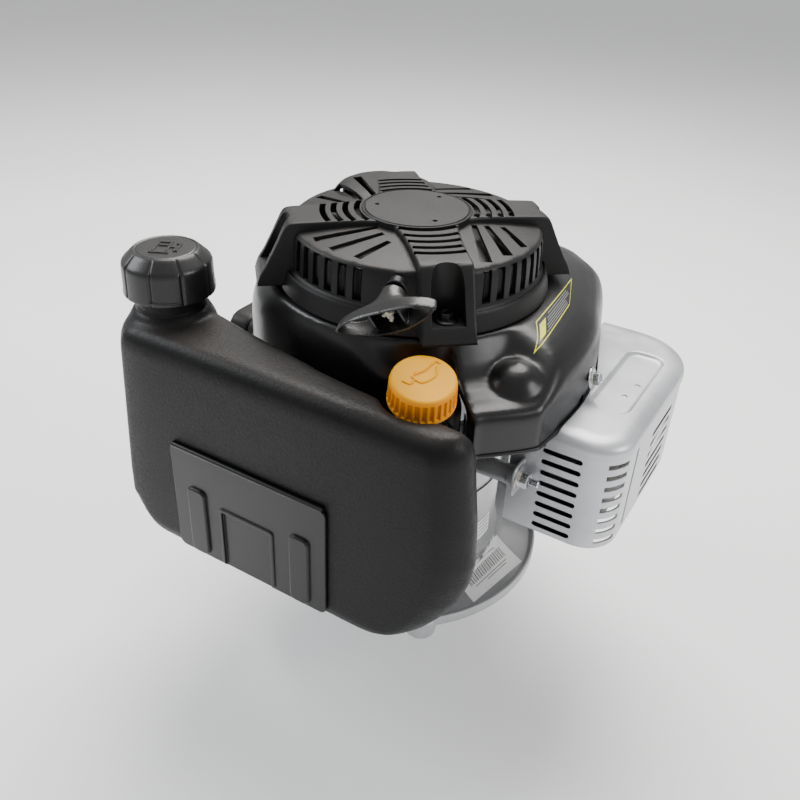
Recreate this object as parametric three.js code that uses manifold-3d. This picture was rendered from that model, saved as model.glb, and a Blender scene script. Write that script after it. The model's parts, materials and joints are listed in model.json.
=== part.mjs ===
// Small petrol engine: one cylinder, overhead valves, vertical crankshaft, recoil start, side tank.
// Millimetres, +Z up. Origin: on the crank axis, level with the undersides of the four mounting feet.
// +X is the exhaust side, -Y the fuel tank side, +Y the cylinder head side.
import * as THREE from "three";
import { mergeVertices } from "three/addons/utils/BufferGeometryUtils.js";
import Module from "manifold-3d";

// ---------------------------------------------------------------- driving dimensions
const GAP = 0.3; // air left between two pieces that touch
const SHAFT_R = 11.11; // 7/8 inch power take-off shaft
const SHAFT_TIP = -80;
const FLANGE_R = 109.2;
const FLANGE_BOTTOM = 8;
const FLANGE_TOP = 15;
const BOLT_CIRCLE_R = 101.6; // 8 inch mounting circle
const FOOT_HOLE_R = 5;
const FOOT_ANGLES = [-50, 40, 130, 220];
const SPLIT = 24; // joint between sump cover and crankcase
const CASE_R = 74;
const WALL = 5;
const CASE_TOP = 150;
const CAM_X = -54.3; // camshaft axis
const CAM_BULGE_R = 45;
const BORE_Z = 81; // height of the cylinder axis
const BORE_R = 32.5;
const THROW = 27.5; // half of the stroke
const DECK_Y = 120; // top of the cylinder barrel
const HEAD_Y = [121, 148];
const ROCKER_Y = [148.8, 176];
const FIN_HALF = 57;
const SKIRT_BOTTOM = 177; // lower edge of the blower housing
const HOUSING_TOP = 232;
const COVER_TOP = 280; // top disc of the starter cover
const COVER_BOTTOM = 234; // lower edge of the starter cover
const COVER_R = 94;
const RIM_R = 89.6;
const RIM_Z = 247.6;
const GRILLE_R = 80;
const GRILLE_Z = 270.5;
const ARM_ANGLE = -48; // first of the four arms of the starter cover
const ARM_HALF = 16;
const ARM_TIP = 99;
const SHEET = 2; // thickness of the pressed covers
const NECK = { x: -125, y: -102 }; // fuel filler
const CAP = { radius: 30, bottom: 225, top: 255 };
const NECK_TOP = 238;
const TANK = { bottom: 40, top: 210, front: -140, wall: 3 };
const TUBE_TOP = [66, -100, 208]; // mouth of the oil filler tube
const TUBE_DIRECTION = [0.152, -0.229, 0.961];
const TUBE_LENGTH = 156;
const OIL_CAP_R = 20.3;
const OIL_CAP_HEIGHT = 18;
const GUARD = { left: 103, right: 175, front: -45, back: 122, bottom: 99, top: 180 };
const REEL_R = 40; // the starter rope winds at this radius
const PULL_START = [40, -90, 268]; // where the rope leaves the starter cover
const PULL_DIRECTION = [0.33, -0.9, -0.28];
const GRIP_BAR = [0.9, 0.16, 0.4]; // the way the bar of the pull grip points
const GRIP_LENGTH = 60;
const DEG = Math.PI / 180;

// ---------------------------------------------------------------- finishes
const finish = (color, roughness, metalness = 0) =>
  new THREE.MeshStandardMaterial({ color, roughness, metalness });
const CAST = finish(0xa9acae, 0.5, 0.8);
const STEEL = finish(0x8f9396, 0.35, 0.9);
const ZINC = finish(0xd0d3d4, 0.3, 0.9);
const IRON = finish(0x6c6f72, 0.5, 0.8);
const BLACK_PAINT = finish(0x121315, 0.3, 0.1);
const BLACK_PLASTIC = finish(0x1a1b1d, 0.5);
const TANK_PLASTIC = finish(0x17181a, 0.55);
const YELLOW_PLASTIC = finish(0xf7b21b, 0.4);
const SILVER_PAINT = finish(0xb9bcc0, 0.35, 0.6);
const RUBBER = finish(0x151515, 0.8);
const GASKET = finish(0x3c3a36, 0.8);
const FOAM = finish(0x3a3c40, 0.95);
const ROPE = finish(0xd8d4c8, 0.9);
const CERAMIC = finish(0xeeeeea, 0.2);

// ---------------------------------------------------------------- solids
const wasm = await Module();
wasm.setup();

// A closed three.js geometry as a manifold-3d solid; one that is already a solid is passed on.
function solid(shape) {
  if (!shape.isBufferGeometry) return shape;
  const bare = shape.clone();
  bare.deleteAttribute("normal");
  bare.deleteAttribute("uv");
  const merged = mergeVertices(bare, 1e-4);
  const index = merged.index.array;
  const faces = [];
  for (let i = 0; i < index.length; i += 3) {
    const [a, b, c] = [index[i], index[i + 1], index[i + 2]];
    if (a !== b && b !== c && c !== a) faces.push(a, b, c);
  }
  const build = (order) =>
    new wasm.Manifold(
      new wasm.Mesh({
        numProp: 3,
        vertProperties: merged.attributes.position.array,
        triVerts: new Uint32Array(order),
      }),
    );
  const made = build(faces);
  return made.volume() > 0 ? made : build(faces.reverse());
}

const join = (...shapes) => shapes.flat().map(solid).reduce((a, b) => a.add(b));
const cut = (body, ...tools) =>
  tools.flat().map(solid).reduce((a, b) => a.subtract(b), solid(body));
const common = (a, b) => solid(a).intersect(solid(b));

function geometryOf(shape) {
  const mesh = solid(shape).asOriginal().simplify(0.01).getMesh();
  const positions = new Float32Array(mesh.numVert * 3);
  for (let i = 0; i < mesh.numVert; i++) {
    const start = i * mesh.numProp;
    positions.set(mesh.vertProperties.subarray(start, start + 3), i * 3);
  }
  const geometry = new THREE.BufferGeometry();
  geometry.setAttribute("position", new THREE.BufferAttribute(positions, 3));
  geometry.setIndex(new THREE.BufferAttribute(mesh.triVerts, 1));
  return geometry;
}

// A round bar along Z from z0 to z1; r1 differs from r0 on a cone.
function bar(r0, z0, z1, { x = 0, y = 0, sides = 12, r1 = r0 } = {}) {
  const geometry = new THREE.CylinderGeometry(r1, r0, z1 - z0, sides);
  return geometry.rotateX(Math.PI / 2).translate(x, y, (z0 + z1) / 2);
}

const ring = (outer, inner, z0, z1, options = {}) =>
  cut(bar(outer, z0, z1, options), bar(inner, z0 - 1, z1 + 1, options));

function block(x0, x1, y0, y1, z0, z1) {
  const geometry = new THREE.BoxGeometry(x1 - x0, y1 - y0, z1 - z0);
  return geometry.translate((x0 + x1) / 2, (y0 + y1) / 2, (z0 + z1) / 2);
}

// A solid of revolution about Z from [radius, z] points that start and end on the axis.
function turned(profile, sides = 24) {
  const points = profile.map(([r, z]) => new THREE.Vector2(r, z));
  return new THREE.LatheGeometry(points, sides).rotateX(Math.PI / 2);
}

// A flat outline pushed up from z0 to z1, with rounded edges when round is given.
function slab(outline, z0, z1, round = 0) {
  const shape = new THREE.Shape(outline.map(([x, y]) => new THREE.Vector2(x, y)));
  const geometry = new THREE.ExtrudeGeometry(shape, {
    depth: z1 - z0 - 2 * round,
    bevelEnabled: round > 0,
    bevelThickness: round,
    bevelSize: round,
    bevelOffset: -round,
    bevelSegments: 2,
  });
  return geometry.translate(0, 0, z0 + round);
}

// The outline of a rectangle with round corners.
function roundedRectangle(x0, x1, y0, y1, r, steps = 4) {
  const corners = [
    [x1 - r, y1 - r, 0], [x0 + r, y1 - r, 90], [x0 + r, y0 + r, 180], [x1 - r, y0 + r, 270],
  ];
  return corners.flatMap(([x, y, start]) =>
    Array.from({ length: steps + 1 }, (_, i) => {
      const angle = (start + (90 * i) / steps) * DEG;
      return [x + r * Math.cos(angle), y + r * Math.sin(angle)];
    }),
  );
}

// A round tube or hose through a few points.
function hose(points, r, steps = 16, sides = 8) {
  const path = new THREE.CatmullRomCurve3(points.map((p) => new THREE.Vector3(...p)));
  const section = new THREE.Shape();
  section.absarc(0, 0, r, 0, 2 * Math.PI);
  return new THREE.ExtrudeGeometry(section, { steps, curveSegments: sides / 2, extrudePath: path });
}

// Turns a shape built along +Z to a new direction and moves its origin.
function aim(shape, origin, direction, twist = 0) {
  const geometry = shape.isBufferGeometry ? shape.clone() : geometryOf(shape);
  const turn = new THREE.Quaternion().setFromUnitVectors(
    new THREE.Vector3(0, 0, 1),
    new THREE.Vector3(...direction).normalize(),
  );
  geometry.rotateZ(twist);
  geometry.applyQuaternion(turn);
  return geometry.translate(...origin);
}

const spun = (shape, degrees) =>
  (shape.isBufferGeometry ? shape.clone() : geometryOf(shape)).rotateZ(degrees * DEG);

// A closed skin through level rings with the same number of points, and a fan across each end.
function lofted(rings) {
  const count = rings[0].length;
  const positions = rings.flat(2);
  const faces = [];
  for (let k = 0; k + 1 < rings.length; k++)
    for (let i = 0; i < count; i++) {
      const a = k * count + i;
      const b = k * count + ((i + 1) % count);
      faces.push(a, b, b + count, a, b + count, a + count);
    }
  for (const [k, up] of [[0, false], [rings.length - 1, true]]) {
    const middle = [0, 1, 2].map((n) => rings[k].reduce((sum, p) => sum + p[n], 0) / count);
    const centre = positions.length / 3;
    positions.push(...middle);
    for (let i = 0; i < count; i++) {
      const a = k * count + i;
      const b = k * count + ((i + 1) % count);
      faces.push(...(up ? [a, b, centre] : [b, a, centre]));
    }
  }
  const geometry = new THREE.BufferGeometry();
  geometry.setAttribute("position", new THREE.Float32BufferAttribute(positions, 3));
  geometry.setIndex(faces);
  return geometry;
}

// A spur gear with straight-sided teeth: tooth number 0 is centred at the given angle.
function gear(teeth, pitchR, module, z0, z1, degrees) {
  const outline = [];
  for (let k = 0; k < teeth; k++) {
    const middle = (360 / teeth) * k + degrees;
    const quarter = 90 / teeth;
    const corners = [[-1.25, 1.25], [1, 0.5], [1, -0.5], [-1.25, -1.25]];
    for (const [addendum, width] of corners) {
      const angle = (middle - width * quarter) * DEG;
      const r = pitchR + addendum * module;
      outline.push([r * Math.cos(angle), r * Math.sin(angle)]);
    }
  }
  return slab(outline, z0, z1);
}

// A hexagon-headed screw along +Z: its head stands on z = 0 and its shank reaches down.
const screw = (shankR, length, flats, head) =>
  join(
    bar(flats / Math.sqrt(3), 0, head, { sides: 6 }),
    bar(flats * 0.68, 0, 1.2, { sides: 8 }),
    bar(shankR, -length, 0.5, { sides: 8 }),
  );

const engine = new THREE.Group();
function add(name, shape, material, parent = engine) {
  const mesh = new THREE.Mesh(geometryOf(shape), material);
  mesh.name = name;
  parent.add(mesh);
  return mesh;
}

// ---------------------------------------------------------------- sump cover with the mounting flange
const around = (angle, r) => ({ x: r * Math.cos(angle * DEG), y: r * Math.sin(angle * DEG) });
const feet = FOOT_ANGLES.map((angle) =>
  bar(11.5, 0, FLANGE_TOP - 1, around(angle, BOLT_CIRCLE_R)),
);
const footHoles = FOOT_ANGLES.map((angle) =>
  bar(FOOT_HOLE_R, -1, FLANGE_TOP + 1, { ...around(angle, BOLT_CIRCLE_R), sides: 10 }),
);
const caseOutside = (z0, z1, grow = 0) =>
  join(
    bar(CASE_R + grow, z0, z1, { sides: 14 }),
    bar(CAM_BULGE_R + grow, z0, z1, { x: CAM_X, sides: 18 }),
  );
const sumpProfile = [
  [0, FLANGE_BOTTOM], [FLANGE_R - 1.5, FLANGE_BOTTOM], [FLANGE_R, FLANGE_BOTTOM + 1.5],
  [FLANGE_R, FLANGE_TOP], [0, FLANGE_TOP],
];
const DRAIN = { x: 50, y: -24 };
add(
  "sump_cover",
  cut(
    join(turned(sumpProfile, 36), feet, caseOutside(FLANGE_TOP - 3, SPLIT), bar(24, 2, 30)),
    footHoles,
    cut(caseOutside(FLANGE_BOTTOM + 4, SPLIT + 1, -WALL), bar(20, 0, 28)),
    bar(17, 1, 9, { sides: 14 }),
    bar(SHAFT_R + GAP, 0, 31, { sides: 14 }),
    bar(6.3, 0, 20, { ...DRAIN, sides: 10 }),
    bar(6.3, 17, 31, { x: CAM_X, sides: 14 }),
    bar(40, FLANGE_BOTTOM + 4, SPLIT + 1, { x: CAM_X, sides: 28 }),
  ).add(solid(ring(10, 6.3, FLANGE_BOTTOM + 2, 22, { x: CAM_X }))),
  CAST,
);
add("lower_oil_seal", ring(16.6, SHAFT_R + GAP, 2, 8.6, { sides: 14 }), RUBBER);
add(
  "drain_plug",
  join(bar(9, 2.2, 7.7, { ...DRAIN, sides: 6 }), bar(6, 7, 15, { ...DRAIN, sides: 10 })),
  ZINC,
);
add(
  "sump_gasket",
  cut(caseOutside(SPLIT + GAP, SPLIT + 1), caseOutside(SPLIT, SPLIT + 2, -WALL)),
  GASKET,
);

// ---------------------------------------------------------------- crankcase with the cylinder barrel
const alongY = (shape) => aim(shape, [0, 0, BORE_Z], [0, 1, 0]);
const barrelFins = [78, 87, 96, 105].map((y) =>
  block(-FIN_HALF, FIN_HALF, y, y + 2.6, BORE_Z - 50, BORE_Z + 54),
);
const CASE_BOTTOM = SPLIT + 1 + GAP;
const GOVERNOR = { x: -58, y: 34 }; // pivot of the governor arm
const BOSS = { y: -52, z: 142, end: 112 }; // carries the front of the muffler guard
const tubePoint = (t) => TUBE_TOP.map((v, i) => v - TUBE_DIRECTION[i] * (TUBE_LENGTH - t));
const alongTube = (shape) => aim(shape, tubePoint(0), TUBE_DIRECTION);
add(
  "crankcase",
  cut(
    join(
      caseOutside(CASE_BOTTOM, CASE_TOP),
      bar(24, CASE_TOP - 1, 160),
      alongY(bar(41, 50, DECK_Y, { sides: 18 })),
      barrelFins,
      block(-48, 48, 60, DECK_Y, BORE_Z - 14, BORE_Z + 14),
      aim(bar(6.5, 44, BOSS.end, { sides: 10 }), [0, BOSS.y, BOSS.z], [1, 0, 0]),
      alongTube(bar(13, -28, 4)),
    ),
    caseOutside(CASE_BOTTOM - 1, CASE_TOP - 8, -WALL),
    alongY(bar(BORE_R, 40, DECK_Y + 1, { sides: 18 })),
    bar(12.8, CASE_TOP - 9, 161, { sides: 14 }),
    bar(8.3, CASE_TOP - 9, CASE_TOP - 3, { x: CAM_X, sides: 14 }),
    aim(bar(3.3, BOSS.end - 16, BOSS.end + 1, { sides: 8 }), [0, BOSS.y, BOSS.z], [1, 0, 0]),
    alongTube(bar(9.7, -24, 32, { sides: 14 })),
    bar(3.6, CASE_TOP - 12, CASE_TOP + 1, GOVERNOR),
  ),
  CAST,
);

// ---------------------------------------------------------------- cylinder head
const HEAD_FACE = HEAD_Y[0] + GAP;
const PORT_Z = 92;
const EXHAUST = { y: 134, z: 96, r: 11 };
const headFins = [0, 1, 2, 3, 4].map((i) =>
  block(-FIN_HALF, FIN_HALF, HEAD_FACE, HEAD_Y[1], 34 + 20 * i, 37.5 + 20 * i),
);
const PLUG = { origin: [-46, 136, 120], direction: [-0.94, 0.34, 0] };
add(
  "head_gasket",
  cut(
    block(-46, 46, DECK_Y + GAP, HEAD_Y[0], BORE_Z - 44, BORE_Z + 44),
    alongY(bar(BORE_R + 1, DECK_Y, HEAD_Y[0] + 1, { sides: 18 })),
  ),
  GASKET,
);
add(
  "cylinder_head",
  cut(
    join(
      block(-46, 46, HEAD_FACE, HEAD_Y[1], BORE_Z - 47, BORE_Z + 53),
      headFins,
      block(-58, 58, 122, 146, PORT_Z - 12, PORT_Z + 16),
    ),
    aim(bar(EXHAUST.r - 2, 30, 60, { sides: 14 }), [0, EXHAUST.y, EXHAUST.z], [1, 0, 0]),
    aim(bar(10, 30, 60, { sides: 14 }), [0, EXHAUST.y, PORT_Z], [-1, 0, 0]),
    alongY(bar(BORE_R - 2, HEAD_FACE - 1, HEAD_FACE + 7, { sides: 18 })),
    aim(bar(6.3, -30, 30, { sides: 10 }), PLUG.origin, PLUG.direction),
    aim(bar(13, 0, 30, { sides: 14 }), PLUG.origin, PLUG.direction),
  ),
  CAST,
);
const ROCKER_MIDDLE = BORE_Z + 2;
add(
  "rocker_cover",
  aim(
    join(
      slab(roundedRectangle(-42, 42, -46, 46, 10), 0, 4),
      slab(roundedRectangle(-36, 36, -40, 40, 12), 2, ROCKER_Y[1] - ROCKER_Y[0], 4),
    ),
    [0, ROCKER_Y[0], ROCKER_MIDDLE],
    [0, 1, 0],
  ),
  BLACK_PAINT,
);
add(
  "spark_plug",
  aim(
    join(
      bar(6, -14, 1, { sides: 10 }),
      bar(9.5, 0.3, 8, { sides: 6 }),
      bar(5.5, 7, 30, { sides: 10 }),
      bar(2, 29, 34, { sides: 8 }),
    ),
    PLUG.origin,
    PLUG.direction,
  ),
  CERAMIC,
);
const plugPoint = (t) => PLUG.origin.map((v, i) => v + PLUG.direction[i] * t);
const CAP_END = plugPoint(44);
add(
  "plug_cap",
  cut(
    join(
      aim(bar(9, 12, 46, { sides: 20, r1: 7 }), PLUG.origin, PLUG.direction),
      hose([plugPoint(40), [CAP_END[0], CAP_END[1] - 4, 130], [CAP_END[0] + 2, 148, 142]], 5, 8),
    ),
    aim(bar(6, 11, 36, { sides: 10 }), PLUG.origin, PLUG.direction),
  ),
  RUBBER,
);

// ---------------------------------------------------------------- crankshaft, piston and camshaft
const CRANK_TEETH = 18;
const CAM_TEETH = 36;
const WEB_R = 40.5;
const web = (z0, z1) =>
  join(
    common(bar(WEB_R, z0, z1, { sides: 18 }), block(-WEB_R, WEB_R, -WEB_R, -4, z0, z1)),
    slab(roundedRectangle(-17, 17, -6, THROW + 13, 12), z0, z1),
  );
add(
  "crankshaft",
  join(
    bar(SHAFT_R - 1, SHAFT_TIP, SHAFT_TIP + 1, { r1: SHAFT_R, sides: 28 }),
    bar(SHAFT_R, SHAFT_TIP + 1, 45, { sides: 14 }),
    gear(CRANK_TEETH, CRANK_TEETH, 2, 32, 42, 180),
    bar(15, 44, 60, { sides: 18 }),
    web(58, 70),
    bar(12.5, 69, 93, { y: THROW, sides: 18 }),
    web(92, 104),
    bar(12.4, 103, 164, { sides: 14 }),
    bar(12.4, 164, 188, { r1: 9.5, sides: 28 }),
    bar(7, 187, 214, { sides: 14 }),
  ),
  STEEL,
);
add("upper_oil_seal", ring(19, 13.2, 160.3, 163.6, { sides: 14 }), RUBBER);
const lobe = (z0, degrees) =>
  spun(join(bar(8, z0, z0 + 8, { sides: 14 }), bar(4.5, z0, z0 + 8, { x: 6.5, sides: 10 })), degrees)
    .translate(CAM_X, 0, 0);
const camGear = gear(CAM_TEETH, CAM_TEETH, 2, 32, 42, 180 / CAM_TEETH).translate(CAM_X, 0, 0);
add(
  "camshaft",
  join(bar(6, 18.5, CASE_TOP - 4, { x: CAM_X, sides: 14 }), camGear, lobe(106, 70), lobe(118, -20)),
  IRON,
);
const WRIST_Y = 99.5;
add(
  "piston",
  alongY(
    cut(
      bar(BORE_R - 0.4, 86, 119, { sides: 18 }),
      bar(BORE_R - 4, 84, 112, { sides: 14 }),
    ).add(solid(block(-8, 8, -28.5, 28.5, 92, 113)))
      .subtract(solid(block(-12, 12, -9.5, 9.5, 84, 111)))
      .subtract(solid(bar(7.2, -40, 40, { sides: 14 }).rotateX(Math.PI / 2).translate(0, 0, WRIST_Y))),
  ),
  CAST,
);
add("piston_pin", bar(6.9, BORE_Z - 26, BORE_Z + 26, { y: WRIST_Y, sides: 14 }), STEEL);
add(
  "connecting_rod",
  cut(
    join(
      bar(10.5, BORE_Z - 9, BORE_Z + 9, { y: WRIST_Y }),
      block(-6, 6, 43, WRIST_Y - 4, BORE_Z - 5, BORE_Z + 5),
    ),
    bar(7.2, BORE_Z - 10, BORE_Z + 10, { y: WRIST_Y, sides: 14 }),
  ),
  CAST,
);

// ---------------------------------------------------------------- flywheel and ignition
const blade = slab([[50, -1.5], [84, 5], [84, 8], [50, 1.5]], 196, 214);
const BLADES = 12;
add(
  "flywheel",
  cut(
    join(
      turned([[0, 167], [70, 167], [86, 167], [86, 198], [30, 198], [22, 192], [22, 186.5], [0, 186.5]], 28),
      Array.from({ length: BLADES }, (_, i) => spun(blade, (360 / BLADES) * i)),
    ),
    turned([[0, 166], [78, 166], [78, 188], [34, 188], [26, 176], [26, 166.5], [0, 166.5]], 24),
    bar(12.9, 160, 199, { sides: 14 }),
  ).add(solid(ring(24, 12.9, 166, 186.5, { sides: 14 }))),
  CAST,
);
add(
  "starter_cup",
  cut(
    turned([[0, 199], [34, 199], [38, 203], [38, 226], [0, 226]], 24),
    bar(35.5, 202, 227, { sides: 18 }),
    bar(7.4, 190, 230, { sides: 14 }),
    Array.from({ length: 6 }, (_, i) => bar(4, 198, 203, { ...around(60 * i, 24), sides: 8 })),
  ),
  ZINC,
);
add("flywheel_nut", cut(bar(13, 202.3, 212, { sides: 6 }), bar(7.3, 200, 214, { sides: 14 })), ZINC);
const COIL = { angle: 135, r: 88.5 };
add(
  "ignition_coil",
  spun(
    join(
      block(COIL.r, COIL.r + 10, -24, 24, 174, 188),
      block(COIL.r + 8, COIL.r + 20, -11, 11, 168, 194),
    ),
    COIL.angle,
  ),
  BLACK_PLASTIC,
);
const coilEnd = around(COIL.angle, COIL.r + 22);
add(
  "ignition_lead",
  hose(
    [
      [coilEnd.x - 0.5, coilEnd.y + 0.5, 181], [coilEnd.x - 3, coilEnd.y + 12, 176],
      [-88, 116, 166], [-91, 138, 154], [CAP_END[0] + 2, 148, 144.6],
    ],
    3,
    16,
    6,
  ),
  RUBBER,
);

// ---------------------------------------------------------------- blower housing
const HOUSING_OUTLINE = [
  [-42, -88], [-20, -93], [8, -95], [35, -91], [66, -71], [96, -94], [102, -91], [124, -68],
  [128, -57], [131, -12], [127, 28], [116, 64], [104, 100], [94, 122], [80, 137], [58, 152],
  [14, 155], [-30, 154], [-58, 146], [-78, 130], [-95, 94], [-106, 56], [-113, 4], [-108, -32],
  [-94, -58], [-72, -77],
];
const COLLAR_R = 94;
// One level ring: spread 0 gives the round collar, 1 the full outline.
const housingRing = (z, spread, inset) =>
  HOUSING_OUTLINE.map(([x, y]) => {
    const full = Math.hypot(x, y);
    const scale = (THREE.MathUtils.lerp(COLLAR_R, full, spread) - inset) / full;
    return [x * scale, y * scale, z];
  });
const housingSkin = (inset, down) =>
  lofted([
    housingRing(SKIRT_BOTTOM - down, 1, inset),
    housingRing(HOUSING_TOP - 29 - inset, 1, inset),
    housingRing(HOUSING_TOP - 13 - inset, 0.75, inset),
    housingRing(HOUSING_TOP - 5 - inset, 0.35, inset),
    housingRing(HOUSING_TOP - inset, 0, inset),
  ]);
const DOME = { x: 104, y: -52, z: 196, r: 19 };
const domeBall = (r) => new THREE.SphereGeometry(r, 14, 9).translate(DOME.x, DOME.y, DOME.z);
add(
  "blower_housing",
  cut(
    join(housingSkin(0, 0), domeBall(DOME.r)),
    housingSkin(SHEET, 1),
    domeBall(DOME.r - SHEET),
    bar(86, 200, HOUSING_TOP + 6, { sides: 32 }),
  ),
  BLACK_PAINT,
);
const HOUSING_BOLT = { origin: [131.9, 8, 192], direction: [1, 0.04, 0] };
add("housing_bolt", aim(screw(2.6, 0.2, 8, 4), HOUSING_BOLT.origin, HOUSING_BOLT.direction), ZINC);

// ---------------------------------------------------------------- starter cover
const SCREW_R = 92; // circle of the cover's four screws
const WELL_FLOOR = 250;
const armAngles = [0, 1, 2, 3].map((i) => ARM_ANGLE + 90 * i);
const onArms = (shape) => armAngles.map((angle) => spun(shape, angle));
const drum = (inset) =>
  turned([
    [0, COVER_BOTTOM - inset], [COVER_R - inset, COVER_BOTTOM - inset], [RIM_R - inset, RIM_Z - inset],
    [GRILLE_R + 4 - inset, RIM_Z + 1 - inset], [GRILLE_R + 1 - inset, GRILLE_Z - 2 - inset],
    [GRILLE_R - 1, GRILLE_Z - inset], [38, 276 - inset], [0, 276 - inset],
  ], 24);
const armSide = (inset) => [
  [0, COVER_BOTTOM - inset], [ARM_TIP - inset, COVER_BOTTOM - inset], [ARM_TIP - inset, 246],
  [84 - inset, 277 - inset], [0, 277 - inset],
];
const arm = (inset) =>
  slab(armSide(inset), -ARM_HALF + inset, ARM_HALF - inset).rotateX(Math.PI / 2);
const post = cut(
  block(SCREW_R - 11.5, ARM_TIP - 1, -12, 12, COVER_BOTTOM + 1, 268),
  bar(9.3, WELL_FLOOR, 290, { x: SCREW_R, sides: 10 }),
  block(SCREW_R, 110, -9.3, 9.3, WELL_FLOOR, 290),
);
const insideArm = common(post, slab(armSide(0), -ARM_HALF, ARM_HALF).rotateX(Math.PI / 2));
const roofSlot = (turn) => spun(block(42 + Math.abs(turn) / 2, 77, -2.6, 2.6, 260, 290), 45 + turn);
const wallSlot = (i) => spun(block(76, 96, -4, 4, 251.5, 267), 45 + 13 * i);
const armSlot = (r) => block(r - 2, r + 2, -12, 12, 270, 290);
const PULL_HOLE_R = 5.2;
add(
  "starter_cover",
  cut(
    join(
      cut(
        join(drum(0), bar(33, 270, COVER_TOP, { r1: 32, sides: 40 }), onArms(arm(0))),
        drum(SHEET),
        onArms(arm(SHEET)),
      ),
      onArms(insideArm),
      bar(9, 238, 277),
    ),
    onArms(bar(9.3, WELL_FLOOR, 290, { x: SCREW_R, sides: 10 })),
    onArms(block(SCREW_R, 110, -9.3, 9.3, WELL_FLOOR, 290)),
    onArms(bar(3.3, 220, 260, { x: SCREW_R, sides: 8 })),
    [-22, 0, 22].flatMap((turn) => onArms(roofSlot(turn))),
    [-1.5, -0.5, 0.5, 1.5].flatMap((i) => onArms(wallSlot(i))),
    [46, 60].flatMap((r) => onArms(armSlot(r))),
    aim(bar(PULL_HOLE_R, -14, 12, { sides: 10 }), PULL_START, PULL_DIRECTION),
    bar(2.6, 230, 256, { sides: 8 }),
  ),
  BLACK_PLASTIC,
);
armAngles.forEach((angle, i) => {
  const { x, y } = around(angle, SCREW_R);
  const piece = geometryOf(screw(2.9, 15, 8, 5));
  add("cover_screw_" + (i + 1), piece.translate(x, y, WELL_FLOOR + GAP), ZINC);
});
const REEL_PROFILE = [
  [0, 240], [46, 240], [46, 242], [REEL_R - 3, 243], [REEL_R - 3, 253], [46, 254], [46, 256], [0, 256],
];
add(
  "starter_reel",
  cut(turned(REEL_PROFILE), bar(9.8, 239, 257), ring(33, 14, 246, 257, { sides: 14 })),
  BLACK_PLASTIC,
);
add("recoil_spring", ring(31, 16, 247, 255, { sides: 14 }), STEEL);
add("starter_rope", ring(45, REEL_R - 2, 243.6, 252.4, { sides: 24 }), ROPE);
add(
  "reel_screw",
  join(bar(2.4, 230, 250, { sides: 8 }), bar(13, 235, 237.6, { sides: 14 }), bar(5, 232, 235.5, { sides: 6 })),
  ZINC,
);
// The turn about the pull direction that lays a shape's own X axis along the wanted bar direction.
function twistFor(direction, wanted) {
  const turn = new THREE.Quaternion().setFromUnitVectors(
    new THREE.Vector3(0, 0, 1),
    new THREE.Vector3(...direction).normalize(),
  );
  const bar = new THREE.Vector3(...wanted);
  const across = new THREE.Vector3(1, 0, 0).applyQuaternion(turn);
  const up = new THREE.Vector3(0, 1, 0).applyQuaternion(turn);
  return Math.atan2(bar.dot(up), bar.dot(across));
}
const PULL_TWIST = twistFor(PULL_DIRECTION, GRIP_BAR);
const alongPull = (shape) => aim(shape, PULL_START, PULL_DIRECTION, PULL_TWIST);
add("rope_guide", alongPull(ring(4.9, 2.4, -4, 3, { sides: 10 })), ZINC);
const GRIP_START = 6; // the neck of the grip begins this far outside the guide
const gripPlan = (inset) =>
  roundedRectangle(-GRIP_LENGTH / 2 + inset, GRIP_LENGTH / 2 - inset, inset - 9, 9 - inset, 6 - inset / 3);
const grip = cut(
  join(
    bar(6, GRIP_START, GRIP_START + 12, { r1: 9, sides: 14 }),
    slab(gripPlan(0), GRIP_START + 9, GRIP_START + 26, 2),
  ),
  slab(gripPlan(2.5), GRIP_START + 14, GRIP_START + 30),
  bar(2.6, 0, 40, { sides: 8 }),
);
add("recoil_grip", alongPull(grip), BLACK_PLASTIC);
add(
  "rope_end",
  alongPull(
    join(
      bar(2.1, -4, GRIP_START + 16, { sides: 8 }),
      new THREE.SphereGeometry(4.2, 12, 8).translate(0, 0, GRIP_START + 18.6),
    ),
  ),
  ROPE,
);

// ---------------------------------------------------------------- fuel tank
const TANK_OUTLINE = [
  [-138, -140], [88, -140], [104, -137], [114, -128], [117, -119], [113, -111], [100, -110], [47, -109],
  [-22, -99], [-74, -88], [-104, -80], [-136, -80], [-156, -90], [-166, -106], [-165, -120], [-154, -134],
];
// One level ring of the tank: inset pulls it in, left stops it at an x on the low left corner,
// and right is where its narrow end reaches.
const tankRing = (z, inset, left, right) =>
  TANK_OUTLINE.map(([x, y]) => {
    const along = THREE.MathUtils.clamp((x + 140) / 250, 0, 1);
    const middle = THREE.MathUtils.lerp(-110, -125, along);
    const halfDepth = THREE.MathUtils.lerp(30, 15.5, along);
    const taper = x < -130 ? (z - TANK.bottom) * 0.07 : 0;
    const shrunkX = x > 0 ? (x * right) / 117 - inset : x + inset + taper;
    return [Math.max(shrunkX, left + inset), middle + (y - middle) * (1 - inset / halfDepth), z];
  });
const tankSkin = (inset) =>
  lofted([
    tankRing(TANK.bottom + inset, 9 + inset, -124, 66),
    tankRing(TANK.bottom + 4 + inset, 3 + inset, -128, 74),
    tankRing(56, inset, -136, 88),
    tankRing(72, inset, -148, 102),
    tankRing(94, inset, -172, 113),
    tankRing(120, inset, -172, 118),
    tankRing(TANK.top - 14, inset, -172, 111),
    tankRing(TANK.top - 4 - inset, 3 + inset, -172, 110),
    tankRing(TANK.top - inset, 9 + inset, -172, 109),
  ]);
const OUTLET = { x: -118, y: -92 };
const scoop = aim(bar(24, -22, 60, { sides: 14 }), [66, -98, 205], TUBE_DIRECTION);
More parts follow.
